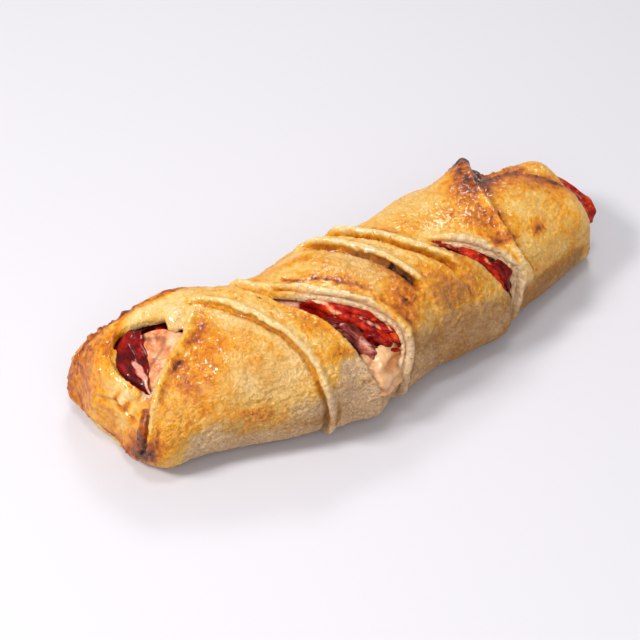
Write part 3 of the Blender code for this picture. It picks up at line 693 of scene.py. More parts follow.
class Skin:  # how each point of the crust lies, how it baked, where shade and highlight are painted on it, and how far it stands out
    def __init__(self, crust):
        self.points, self.normals = pointsOf(crust), normalsOf(crust)
        self.height = self.points[:, 2]
        self.along, self.angle = whereOn(self.points)
        surface = place(self.along, self.angle, 0)
        outward = place(self.along, self.angle, -1) - surface
        length = np.linalg.norm(outward, axis=1, keepdims=True) + 1e-6
        self.deep = ((surface - self.points) * outward / length).sum(1)
        upright = (self.normals * outward / length).sum(1)
        self.lowEnd = share(self.along, 284, 290) * (1 - share(self.height, 16, 21))
        self.inner = share(self.deep, 3.2, 5.0) * (1 - share(upright, 0.2, 0.75)) * share(self.along, 5, 10)
        self.inner = self.inner * (1 - 0.9 * self.lowEnd)
        self.under = share(-self.normals[:, 2], 0.6, 0.9) * (1 - share(self.height, 1.0, 3.0))
        self.behind = between(self.angle, 140, 165, 200, 215)
        edges = [name for name in dough if name.endswith(("Left", "Right"))] + ["flapRim"]
        self.side = {name: beside(self.along, self.angle, dough[name]) for name in edges}
        self.broad = softNoise(self.points, 26, 1)
        self.middle = softNoise(self.points, 8, 2)
        self.small = softNoise(self.points, 3.2, 3, octaves=2)
        self.grain = softNoise(self.points, 1.7, 4, octaves=2)
        self.bake()
        self.dustWithFlour()
        self.roundEdges()
        self.creaseAndScorch()

    def bake(self):
        along, angle = self.along, self.angle
        self.gold = patches(along + 3 * self.middle, angle + 4 * self.broad, baking["gold"])
        self.brownAndShade = patches(along + 1.2 * self.middle, angle + 2 * self.small, baking["brownAndShade"])
        self.burnt = patches(along + 0.8 * self.small, angle + 1.2 * self.grain, baking["burnt"])

    def dustWithFlour(self):  # egg wash runs off the top and leaves the lower sides floury
        flourLine = np.interp(self.along, *np.array(flouring["line"], float).T)
        flour = 1 - share(self.angle + 9 * self.broad + 5 * self.middle, flourLine - 9, flourLine + 9)
        flour = np.maximum(flour, share(self.angle + 8 * self.broad, 176, 196))
        flour = np.maximum(flour, patches(self.along, self.angle, flouring["thin"]))
        flour = flour * (1 - 0.8 * np.clip(self.gold, 0, 1)) * share(self.along, 16, 36)
        flour = flour * (1 - 0.85 * self.lowEnd)
        # These patches paint shade on sides that face away from the light, in the flour's colour.
        for spot, strength in flouring["paintedShade"]:
            paintedShade = strength * patch(self.along, self.angle, spot) * (0.85 + 0.5 * self.middle)
            flour = np.maximum(flour, paintedShade)
        self.flour = flour

    def roundEdges(self):  # the strips' edges stand up and stay pale, partly a painted highlight, with a crease beside each that is painted darker as shade
        self.edges, self.rise, self.pooled, self.creaseShade = np.zeros((4, len(self.points)))
        for name, lowest, highest, strength, at, width in edgeLines:
            inward = self.side[name] if name.endswith("Left") else -self.side[name]
            inward = inward + 0.5 * self.middle
            within = between(self.angle, lowest - 6, lowest + 6, highest - 6, highest + 6)
            within = within * strength * (1 - self.inner)
            crease = at - width - 0.9
            profile = 1.7 * ridge(inward, at, width * 0.8) - 2.5 * ridge(inward, crease, 0.85)
            profile = profile - 0.5 * ridge(inward, at + 2.2 * width, width)
            self.rise = self.rise + within * profile * (1 + 0.25 * self.middle)
            self.edges = np.maximum(self.edges, within * ridge(inward, at, width))
            self.creaseShade = np.maximum(self.creaseShade, within * ridge(inward, crease, 0.8))
            drops = ridge(inward + self.small, at + 1.9 * width, 1.5) * share(self.middle, -0.2, 0.4)
            self.pooled = np.maximum(self.pooled, within * drops)

    def creaseAndScorch(self):
        side, angle, along, middle, small = self.side, self.angle, self.along, self.middle, self.small
        self.shade = sum(ridge(side[name], -4.5, 3.2) for name in ("secondLeft", "fourthLeft", "fifthLeft"))
        self.shade = self.shade * between(angle, 20, 40, 100, 112)
        # Painted shade just beside the left edges of the fourth and fifth strips, where they lie over the
        # strip before; the relief also dips there.
        self.steps = ridge(side["fourthLeft"], -0.8, 1.3) + ridge(side["fifthLeft"], -0.8, 1.3)
        self.steps = self.steps * between(angle, 56, 66, 122, 134)
        # A painted shadow in the crease along the corner flap's right edge.
        self.seamShadow = ridge(side["cornerRight"], 0.6, 1.3) * between(angle, 30, 50, 118, 128)
        beyond = side["thirdLeft"] + 0.5 * middle
        self.scorchedLine = ridge(beyond, 9.4, 1.3) * between(angle, 66, 78, 102, 110)
        self.scorchedLine = self.scorchedLine + 0.7 * ridge(beyond, 8.4, 1.5) * between(angle, 2, 14, 60, 72)
        self.golden = ridge(side["frontLeft"], 6.5, 3.2) * between(angle, 40, 52, 88, 98)
        self.flap = ridge(side["flapRim"], -1.5, 2.6) * between(angle, 84, 94, 122, 132)
        rimBehind = above(along, angle, dough["rimEdge"])
        scorched = ridge(rimBehind + 0.6 * small, 0.6, 1.5) * between(along, 246, 254, 288, 294)
        self.rim = ridge(rimBehind, -3, 5) * share(along, 240, 252)
        self.tip = 1 - share(nearPath(self.points, *ropes["tipEdge"][:2]) + 0.4 * small, 2.7, 3.8)
        self.burnt = self.burnt + 0.75 * scorched * (0.8 + 0.6 * middle) + 0.1 * self.tip
        self.curl = nearPath(self.points, *ropes["curl"][:2])
        self.fold = nearPath(self.points, foldLine, 0)

    # Browning of each point, with painted shade and painted highlight added in.
    def toastAndShading(self):
        b, broad, middle, small = browningAndShading, self.broad, self.middle, self.small
        toastAndShading = b["plain"] + 0.05 * broad + 0.05 * middle + 0.03 * small
        toastAndShading = toastAndShading + b["gold"] * np.clip(self.gold, 0, 0.9) * (1 + 0.4 * small)
        toastAndShading = toastAndShading + b["brownAndShade"] * np.clip(self.brownAndShade, 0, 1.2) * (1 + 0.5 * small)
        # Floury sides further along are painted darker, as shade on flanks that face away from the light.
        toastAndShading = toastAndShading + b["flour"] * self.flour + b["furtherFlankShade"] * self.flour * share(self.along, 120, 190)
        # Strip edges are painted paler, partly as a painted highlight.
        toastAndShading = toastAndShading + b["edge"] * self.edges * (1 + 0.7 * middle) * (1 - np.clip(self.brownAndShade, 0, 1))
        # Creases beside the strip edges are painted darker as shade.
        toastAndShading = toastAndShading + b["pooled"] * self.pooled + b["crease"] * self.creaseShade + b["shade"] * self.shade
        # Painted shade in those steps, and the painted shadow beside the corner flap.
        toastAndShading = toastAndShading + b["step"] * self.steps * (0.7 + middle) + b["seamShadow"] * self.seamShadow * (0.7 + middle)
        pale = patches(self.along, self.angle, flouring["pale"])
        toastAndShading = toastAndShading * (1 - 0.8 * np.clip(pale, 0, 1)) + 0.05 * pale
        toastAndShading = toastAndShading + b["scorchedLine"] * self.scorchedLine * (1 + 0.6 * middle) + b["rim"] * self.rim
        toastAndShading = np.maximum(toastAndShading, (b["tip"] + 0.14 * middle + 0.08 * self.grain) * self.tip)
        roundCurl = ridge(self.curl + 0.4 * small, 3.4, 1.3) * share(self.deep, -2.4, -0.4)
        toastAndShading = toastAndShading + b["curl"] * roundCurl - 0.05 * (1 - share(self.curl, 2.4, 3)) + b["flap"] * self.flap
        foot = (1 - share(self.height + 0.8 * middle, 0.6, 3.4)) * between(self.along, 20, 60, 250, 270)
        toastAndShading = toastAndShading + b["foot"] * foot * (0.5 + 0.8 * share(middle, -0.2, 0.5))
        underneath = b["underneath"] + 0.16 * broad + 0.1 * middle
        toastAndShading = toastAndShading * (1 - self.under) + underneath * self.under
        toastAndShading = toastAndShading + b["behind"] * self.behind + b["golden"] * self.golden * (1 + middle)
        return toastAndShading + b["lowEnd"] * self.lowEnd * share(self.along, 292, 297) * (1 + middle)

    def egg(self):
        shine = np.clip(0.5 + 0.5 * self.gold + 0.7 * self.edges + self.golden + 0.3 * self.middle, 0, 1)
        shine = (1 - self.flour) * (1 - self.inner) * (1 - self.under) * shine
        return shine * (1 - 0.8 * np.clip(self.burnt, 0, 1))

    def crumb(self):
        facing = np.zeros(len(self.points))
        for name, lowest, highest, wide in gapSides:
            within = between(self.angle, lowest - 4, lowest + 4, highest - 4, highest + 4)
            near = share(self.side[name] + 0.5 * self.small, -5, -3)
            near = np.maximum(near, share(self.side[name], -12, -9) * share(self.deep, 1.4, 2.6))
            near = near * (1 - share(self.side[name] + 0.6 * self.small, wide - 0.8, wide + 0.8))
            facing = np.maximum(facing, within * near)
        return np.maximum(self.inner, 0.85 * facing)

    def relief(self):  # soft lumps, wrinkles low on the sides, blisters where it browned
        lump = 0.4 * self.broad + 0.3 * self.middle
        low = between(self.angle, -30, -10, 24, 48) * (1 - self.inner)
        drawn = self.points * np.array([0.55, 1.0, 1.5])
        crease = 1 - np.abs(softNoise(drawn, 7, 6, octaves=3)) * 2.2
        wrinkle = -0.55 * low * share(crease, 0.72, 1.0)
        bubble = np.clip(self.small + 0.1, 0, 1) * np.clip(self.brownAndShade + 0.4 * self.behind, 0, 1)
        wrinkled = 0.22 - np.abs(softNoise(self.points, 4.5, 7, octaves=2))
        fine = 0.22 * self.grain + 0.16 * self.small + 0.75 * wrinkled * (1 - 0.6 * self.inner)
        dip = -0.5 * np.clip(self.burnt, 0, 1) - 0.7 * np.clip(self.steps, 0, 1)
        folds = 0.9 * ridge(self.fold, 3.2, 1.8) - 1.5 * ridge(self.fold, 0, 1.2)
        up = lump + wrinkle + self.rise + folds + 0.8 * bubble + dip
        return (up * (1 - 0.7 * self.inner) + fine) * (1 - self.under)


def dressCrust(crust):
    skin = Skin(crust)
    mark(crust, "toastAndShading", np.clip(skin.toastAndShading(), 0, 1))
    mark(crust, "burnt", np.clip(skin.burnt, 0, 1))
    mark(crust, "flour", np.clip(skin.flour * (1 - skin.inner), 0, 1))
    mark(crust, "egg", np.clip(skin.egg(), 0, 1))
    mark(crust, "crumb", np.clip(skin.crumb(), 0, 1))
    moved = skin.points + skin.normals * skin.relief()[:, None]
    moved[:, 0] += 2.4 * share(skin.along, 272, 298)  # the open end stretches a little
    tallest = np.maximum(moved[:, 2] - 60.5, 0)
    moved[:, 2] = np.maximum(moved[:, 2] - 0.3 * tallest, 0.0)
    setPoints(crust, moved)
    shadeSmooth(crust)


crust = smoothed(makeCrust(), 2)
dressCrust(crust)
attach(crust, "root")
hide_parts("dough")
print("crust done:", len(crust.data.vertices), "points")


# Ham and cheese. Slices lie between two edges, like the strips, and are thin.
filling = {
    "voxel": 1.1,
    "gap": 0.45,
    "innerEnds": [(288, 0), (292, 0.7), (294, 1.6), (295.5, 4)],
    "outerEnds": [(288, 0.4), (292, 0.7), (296, 1.2), (298.5, 4)],
}


def cheeseTop(along, across):  # height of the top of the cheese
    tall = halfWidth(along) * roll["heightPerHalfWidth"]
    waves = 1.5 * np.sin(along / 14 + across / 23) + 0.9 * np.sin(along / 6.1 - across / 9)
    return (0.46 - 0.12 * share(along, 250, 276)) * tall + waves


def hamSplit(along, across):  # height where the pale ham ends and the dark ham begins
    tall = halfWidth(along) * roll["heightPerHalfWidth"]
    nearEnd, nearMouth = 1 - share(along, 28, 50), share(along, 258, 284)
    tilt = -0.16 * across * (1 - nearEnd) * (1 - nearMouth)
    return (0.74 - 0.16 * nearEnd - 0.2 * nearMouth) * tall + tilt + 1.4 * np.sin(along / 11 - across / 18)


def slab(name, bottom, top, ends):  # what lies between two heights in the room inside
    body = hollow(name, dough["crust"] + filling["gap"], ends)
    gridAlong, gridAcross = np.meshgrid(np.linspace(-6, 311, 160), np.linspace(-60, 60, 60), indexing="ij")
    back = centreLine(gridAlong) + gridAcross
    low = np.stack([gridAlong, back, bottom(gridAlong, gridAcross)], -1)
    high = np.stack([gridAlong, back, top(gridAlong, gridAcross)], -1)
    layer = loft("layer", [np.concatenate([a, b[::-1]]) for a, b in zip(low, high)])
    return cutBy(body, layer, "INTERSECT")


def shifted(height, by):
    return lambda along, across: height(along, across) + by


def flat(value):
    return lambda along, across: np.full_like(along, value)


def thinSlice(
    name, left, right, depth, folds, count, seed, thick=1.3, sway=0.6, crown=0.0,
    outward=False, slope=0.0, ruffle=(0, 0), drape=0.0,
):  # a thin slice between two edges, which ripples across, sways, and can slope or hang down
    lefts = smoothPath(left, np.linspace(0, len(left) - 1, 90))
    rights = smoothPath(right, np.linspace(0, len(right) - 1, 90))
    across = (1 - np.cos(np.linspace(0, math.pi, 34))) / 2
    rings, creases = [], []
    for i, (a, b) in enumerate(zip(lefts, rights)):
        t = i / 89
        spots = a + across[:, None] * (b - a)
        wander = np.array([noise.noise(Vector((3.2 * t, 1.6 * s, seed))) for s in across])
        crinkle = np.array([noise.fractal(Vector((7 * t, 3 * s, seed + 20)), 0.7, 2.1, 2) for s in across])
        phase = 2 * math.pi * (count * across + 0.3 * math.sin(5 * t + seed)) + 3.5 * wander
        top = depth + folds * np.sin(phase) + 0.9 * wander + 0.35 * crinkle - crown * np.sin(np.pi * across)
        spots[:, 0] += sway * np.cos(phase) + 0.8 * noise.noise(Vector((9 * t, 4, seed)))
        wave = 2 * math.pi * ruffle[1] * t + seed + 2 * wander
        top = top + slope * t + ruffle[0] * np.sin(wave) * (0.3 + 0.7 * across)
        spots[:, 0] += 0.7 * ruffle[0] * np.cos(wave) * across
        edge = np.sqrt(np.clip(1 - (2 * across - 1) ** 12, 0.02, 1))
        edge = edge * math.sqrt(max(1 - (2 * t - 1) ** 16, 0.02))
        spots[:, 1] += drape * np.abs(2 * across - 1) ** 2.5 * share(t, 0.5, 1)
        upper = place(spots[:, 0], spots[:, 1], top - thick / 2 * edge, ends=(True, not outward))
        lower = place(spots[:, 0], spots[:, 1], top + thick / 2 * edge, ends=(True, not outward))
        rings.append(np.concatenate([upper, lower[::-1]]))
        creases.append(np.concatenate([np.sin(phase), np.sin(phase)[::-1]]))
    made = loft(name, rings)
    t, s = np.meshgrid(np.linspace(0, 1, 90), np.concatenate([across, across[::-1]]), indexing="ij")
    shadeSmooth(made)
    return made, t.ravel(), s.ravel(), np.array(creases).ravel()


def streaked(made, t, s, crease, seed, fat=(), rim=(0.06, 0.06), rimWidth=0.05):
    # fat runs lengthwise: (where across, width, strength, from, to)
    points = pointsOf(made)
    wobble = softNoise(points, 9, seed + 30, octaves=2)
    amount = np.zeros(len(points))
    for at, width, strength, start, end in fat:
        band = np.exp(-(((s + 0.10 * wobble - at) / width) ** 2))
        within = share(t, start - 0.06, start + 0.06) * (1 - share(t, end - 0.06, end + 0.06))
        amount = np.maximum(amount, strength * band * within)
    dark = np.maximum(rim[0] * np.exp(-s / rimWidth), rim[1] * np.exp(-(1 - s) / rimWidth))
    # The crests of the folds get more of the fat colour and come out lighter.
    crest = share(-crease, 0.55, 0.95) * share(wobble, -0.1, 0.5)
    mark(made, "fat", np.clip(amount + 0.3 * crest + 0.12 * wobble, 0, 1))
    # The rim layer darkens the slice's edges, and its fold valleys as painted shade.
    mark(made, "rim", np.clip(dark + 0.45 * share(crease, 0.2, 1), 0, 1))
    return made


def ramp(nodes, stops):
    node = nodes.new("ShaderNodeValToRGB")
    elements = node.color_ramp.elements
    while len(elements) > 1:
        elements.remove(elements[-1])
    elements[0].position, elements[0].color = stops[0][0], linear(stops[0][1])
    for position, colour in stops[1:]:
        elements.new(position).color = linear(colour)
    return node


def linear(rgb):  # from the 0-255 colours of a screen
    return tuple(((v / 255 + 0.055) / 1.055) ** 2.4 if v > 10 else v / 255 / 12.92 for v in rgb) + (1,)


class Paint:  # short ways to wire a material
    def __init__(self, name):
        self.material = bpy.data.materials.new(name)
        self.material.use_nodes = True
        self.nodes = self.material.node_tree.nodes
        self.links = self.material.node_tree.links
        self.shader = self.nodes["Principled BSDF"]
        self.where = self.nodes.new("ShaderNodeTexCoord").outputs["Object"]

    def layer(self, name):
        node = self.nodes.new("ShaderNodeAttribute")
        node.attribute_name = name
        return node.outputs["Fac"]

    def noise(self, scale, detail=3, rough=0.6, distort=0.0):
        node = self.nodes.new("ShaderNodeTexNoise")
        node.inputs["Scale"].default_value = scale
        node.inputs["Detail"].default_value = detail
        node.inputs["Roughness"].default_value = rough
        node.inputs["Distortion"].default_value = distort
        self.links.new(self.where, node.inputs["Vector"])
        return node.outputs["Fac"]

    def set(self, socket, value):
        if hasattr(value, "is_linked"):
            self.links.new(value, socket)
        else:
            socket.default_value = value

    def combine(self, operation, a, b):
        node = self.nodes.new("ShaderNodeMath")
        node.operation = operation
        self.set(node.inputs[0], a)
        self.set(node.inputs[1], b)
        return node.outputs[0]

    def span(self, value, low, high, to=(0.0, 1.0)):
        node = self.nodes.new("ShaderNodeMapRange")
        node.interpolation_type = "SMOOTHSTEP"
        self.set(node.inputs["Value"], value)
        for socket, number in zip(("From Min", "From Max", "To Min", "To Max"), (low, high, *to)):
            node.inputs[socket].default_value = number
        return node.outputs[0]

    def mix(self, amount, a, b):
        node = self.nodes.new("ShaderNodeMix")
        node.data_type = "RGBA"
        self.set(node.inputs["Factor"], amount)
        self.set(node.inputs["A"], linear(a) if isinstance(a, tuple) and len(a) == 3 else a)
        self.set(node.inputs["B"], linear(b) if isinstance(b, tuple) and len(b) == 3 else b)
        return node.outputs["Result"]

    def colours(self, value, stops):
        node = ramp(self.nodes, stops)
        self.links.new(value, node.inputs["Fac"])
        return node.outputs["Color"]

    def bump(self, height, strength, distance, under=None):
        node = self.nodes.new("ShaderNodeBump")
        self.set(node.inputs["Strength"], strength)
        node.inputs["Distance"].default_value = distance * mm
        self.links.new(height, node.inputs["Height"])
        if under is not None:
            self.links.new(under, node.inputs["Normal"])
        return node.outputs["Normal"]

    def finish(self, colour, roughness, normal, **fixed):
        self.set(self.shader.inputs["Base Color"], colour)
        self.set(self.shader.inputs["Roughness"], roughness)
        self.links.new(normal, self.shader.inputs["Normal"])
        for name, value in fixed.items():
            self.shader.inputs[name.replace("_", " ")].default_value = value
        return self.material


# Colours of the dough, from raw to black for the toast level, which also carries painted shade and highlight,
# and from dark to light for the rest.
doughColours = {
    "toastAndShading": [
        (0.0, (252, 230, 190)), (0.13, (248, 210, 140)), (0.27, (240, 184, 86)), (0.37, (238, 158, 16)),
        (0.48, (218, 126, 2)), (0.62, (182, 88, 4)), (0.78, (112, 50, 10)), (1.0, (46, 22, 12)),
    ],
    "flour": [(0.3, (170, 132, 98)), (0.5, (208, 168, 130)), (0.72, (234, 202, 168))],
    "toastedFlour": (170, 122, 76),
    "crumb": [(0.3, (222, 172, 128)), (0.5, (236, 200, 158)), (0.7, (246, 220, 184))],
    "burnt": (46, 22, 16),
}


def bakedDough():
    p = Paint("baked dough")
    toastAndShading, burnt, flour, egg, crumb = (p.layer(n) for n in ("toastAndShading", "burnt", "flour", "egg", "crumb"))
    blotch = p.noise(110, 5, 0.65, 0.8)
    mottle = p.noise(420, 4, 0.68, 0.8)
    speck = p.noise(1300, 3, 0.7)
    level = p.combine("ADD", toastAndShading, p.span(blotch, 0.32, 0.7, (-0.045, 0.055)))
    level = p.combine("ADD", level, p.span(mottle, 0.32, 0.68, (-0.025, 0.03)))
    level = p.combine("ADD", level, p.span(speck, 0.3, 0.7, (-0.025, 0.025)))
    freckle = p.span(p.noise(300, 2, 0.5, 0.4), 0.56, 0.64)
    browner = p.span(toastAndShading, 0.24, 0.42, (0.01, 0.08))
    level = p.combine("ADD", level, p.combine("MULTIPLY", freckle, browner))
    crustColour = p.colours(level, doughColours["toastAndShading"])
    dust = p.colours(p.noise(800, 4, 0.75), doughColours["flour"])
    dust = p.mix(p.span(toastAndShading, 0.16, 0.36), dust, doughColours["toastedFlour"])
    floured = p.mix(p.combine("MULTIPLY", flour, p.span(mottle, 0.3, 0.6, (0.65, 1.0))), crustColour, dust)
    inside = p.colours(p.noise(420, 3, 0.6), doughColours["crumb"])
    withCrumb = p.mix(crumb, floured, inside)
    char = p.span(p.combine("ADD", burnt, p.span(mottle, 0.3, 0.7, (-0.22, 0.22))), 0.3, 0.8)
    colour = p.mix(char, withCrumb, doughColours["burnt"])
    squiggle = p.combine("ABSOLUTE", p.combine("SUBTRACT", p.noise(420, 3, 0.6, 1.6), 0.5), 0.0)
    normal = p.bump(squiggle, 1.0, 2.2)
    normal = p.bump(p.noise(950, 3, 0.6, 0.8), 1.0, 0.9, normal)
    normal = p.bump(speck, 0.6, 0.3, normal)
    p.links.new(p.bump(p.noise(620, 2, 0.5, 0.5), 0.3, 0.5), p.shader.inputs["Coat Normal"])
    roughness = p.combine("ADD", p.span(egg, 0.1, 0.7, (0.65, 0.4)), p.span(blotch, 0.3, 0.7, (-0.05, 0.09)))
    p.links.new(p.span(egg, 0.15, 0.8, (0.03, 0.62)), p.shader.inputs["Coat Weight"])
    return p.finish(
        colour, roughness, normal, Subsurface_Weight=0.06, Subsurface_Scale=0.002,
        Coat_Roughness=0.09, Coat_IOR=1.55, Specular_IOR_Level=0.15,
    )


# Colours of the ham, each from dark to light: the material's name, its lean and its fat.
hamColours = {
    "red": (
        "cured ham", [(0.25, (44, 1, 2)), (0.42, (92, 3, 5)), (0.58, (134, 10, 8)), (0.74, (180, 40, 16))],
        [(0.3, (196, 112, 92)), (0.7, (236, 184, 156))],
    ),
    "orange": (
        "warm cured ham",
        [(0.25, (70, 0, 1)), (0.42, (134, 8, 3)), (0.58, (182, 34, 8)), (0.74, (216, 96, 30))],
        [(0.3, (208, 122, 84)), (0.7, (236, 184, 144))],
    ),
    "dark": (
        "dark cured ham",
        [(0.25, (28, 0, 0)), (0.42, (70, 0, 1)), (0.58, (112, 4, 4)), (0.74, (156, 24, 12))],
        [(0.3, (176, 92, 76)), (0.7, (222, 160, 136))],
    ),
    "pink": (
        "fatty ham",
        [(0.25, (146, 56, 30)), (0.45, (184, 104, 66)), (0.6, (202, 132, 88)), (0.75, (216, 162, 120))],
        [(0.3, (202, 142, 102)), (0.7, (226, 188, 152))],
    ),
    "purple": (
        "shaded ham",
        [(0.25, (56, 6, 10)), (0.45, (98, 26, 26)), (0.6, (138, 62, 50)), (0.75, (184, 114, 90))],
        [(0.3, (180, 118, 104)), (0.7, (222, 172, 150))],
    ),
}


def curedHam(name, leanStops, fatStops):
    p = Paint(name)
    grain = p.noise(150, 3, 0.55, 0.8)
    fine = p.noise(1100, 3, 0.6)
    lean = p.colours(p.combine("ADD", grain, p.span(fine, 0.3, 0.7, (-0.05, 0.05))), leanStops)
    fat = p.colours(fine, fatStops)
    ragged = p.span(p.noise(170, 2, 0.5, 1.0), 0.3, 0.7, (-0.18, 0.18))
    streak = p.span(p.combine("ADD", p.layer("fat"), ragged), 0.35, 0.75)
    colour = p.mix(streak, lean, fat)
    # Darker at the slice's edges, and in its fold valleys as painted shade.
    rimmedAndFoldShaded = p.mix(p.layer("rim"), colour, (58, 8, 12))
    normal = p.bump(grain, 0.35, 0.5)
    normal = p.bump(fine, 0.25, 0.2, normal)
    return p.finish(
        rimmedAndFoldShaded, 0.42, normal, Subsurface_Weight=0.1, Subsurface_Scale=0.002,
        Coat_Weight=0.3, Coat_Roughness=0.05, Coat_IOR=1.45, Specular_IOR_Level=0.05,
    )


hams = {which: curedHam(*colours) for which, colours in hamColours.items()}
cheeseColours = [
    (0.25, (184, 112, 58)), (0.45, (204, 148, 96)), (0.6, (220, 174, 124)), (0.78, (234, 198, 152)),
]


def meltedCheese():
    p = Paint("melted cheese")
    cloud = p.noise(120, 4, 0.6, 0.5)
    fine = p.noise(900, 2, 0.6)
    colour = p.colours(cloud, cheeseColours)
    # Browner at the edges, and in the fold valleys as painted shade.
    colour = p.mix(p.layer("rim"), colour, (196, 112, 34))
    normal = p.bump(p.noise(300, 3, 0.5), 0.4, 0.8)
    normal = p.bump(fine, 0.2, 0.25, normal)
    return p.finish(
        colour, 0.3, normal, Subsurface_Weight=0.2, Subsurface_Scale=0.003,
        Coat_Weight=0.5, Coat_Roughness=0.06,
    )


crust.data.materials.clear()
crust.data.materials.append(bakedDough())


def finishPiece(piece, nodes, material):
    piece.data.materials.clear()
    piece.data.materials.append(material)
    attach(piece, "root")
    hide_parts(*nodes)


# Where the strips leave the filling bare, as soft patches. The bed lies deeper there, under the slices.
gaps = [
    (36, 96, 16, 22, 60), (46, 122, 12, 10, 0), (44, 118, 12, 8, 0), (126, 62, 9, 26, 65),
    (136, 32, 8, 18, 70), (212, 58, 7, 26, 60),
]


def bed(name, bottom, top, ends, sink):  # one layer of the filling, uneven and sunk by this much
    body = melted(slab(name, bottom, top, ends), filling["voxel"])
    smoothed(body, 3)
    points, normals = pointsOf(body), normalsOf(body)
    along, angle = whereOn(points)
    up = 0.5 * softNoise(points, 9, 11) + 0.3 * softNoise(points, 3.5, 12) - 0.4 - sink
    nearGap = sum(patch(along, angle, spot) for spot in gaps)
    up = up - 4.5 * np.clip(nearGap, 0, 1) * share(normals[:, 2], -0.3, 0.2)
    setPoints(body, points + normals * up[:, None])
    mark(body, "fat", 0.35 + 0.5 * softNoise(points * np.array([0.5, 1, 1]), 10, 13))
    mark(body, "rim", np.zeros(len(points)))
    shadeSmooth(body)
    return body


gap = filling["gap"]
cheese = bed("cheese", flat(-10.0), shifted(cheeseTop, -gap / 2), filling["innerEnds"], 0.2)
hamBottom, hamMiddle = shifted(cheeseTop, gap / 2), shifted(hamSplit, -gap / 2)
hamLower = bed("fattyHam", hamBottom, hamMiddle, filling["innerEnds"], 1.2)
hamUpper = bed("darkHam", shifted(hamSplit, gap / 2), flat(90.0), filling["outerEnds"], 1.6)
finishPiece(cheese, ["cheese"], meltedCheese())
finishPiece(hamLower, ["ham_lower"], hams["pink"])
finishPiece(hamUpper, ["ham_upper"], hams["red"])

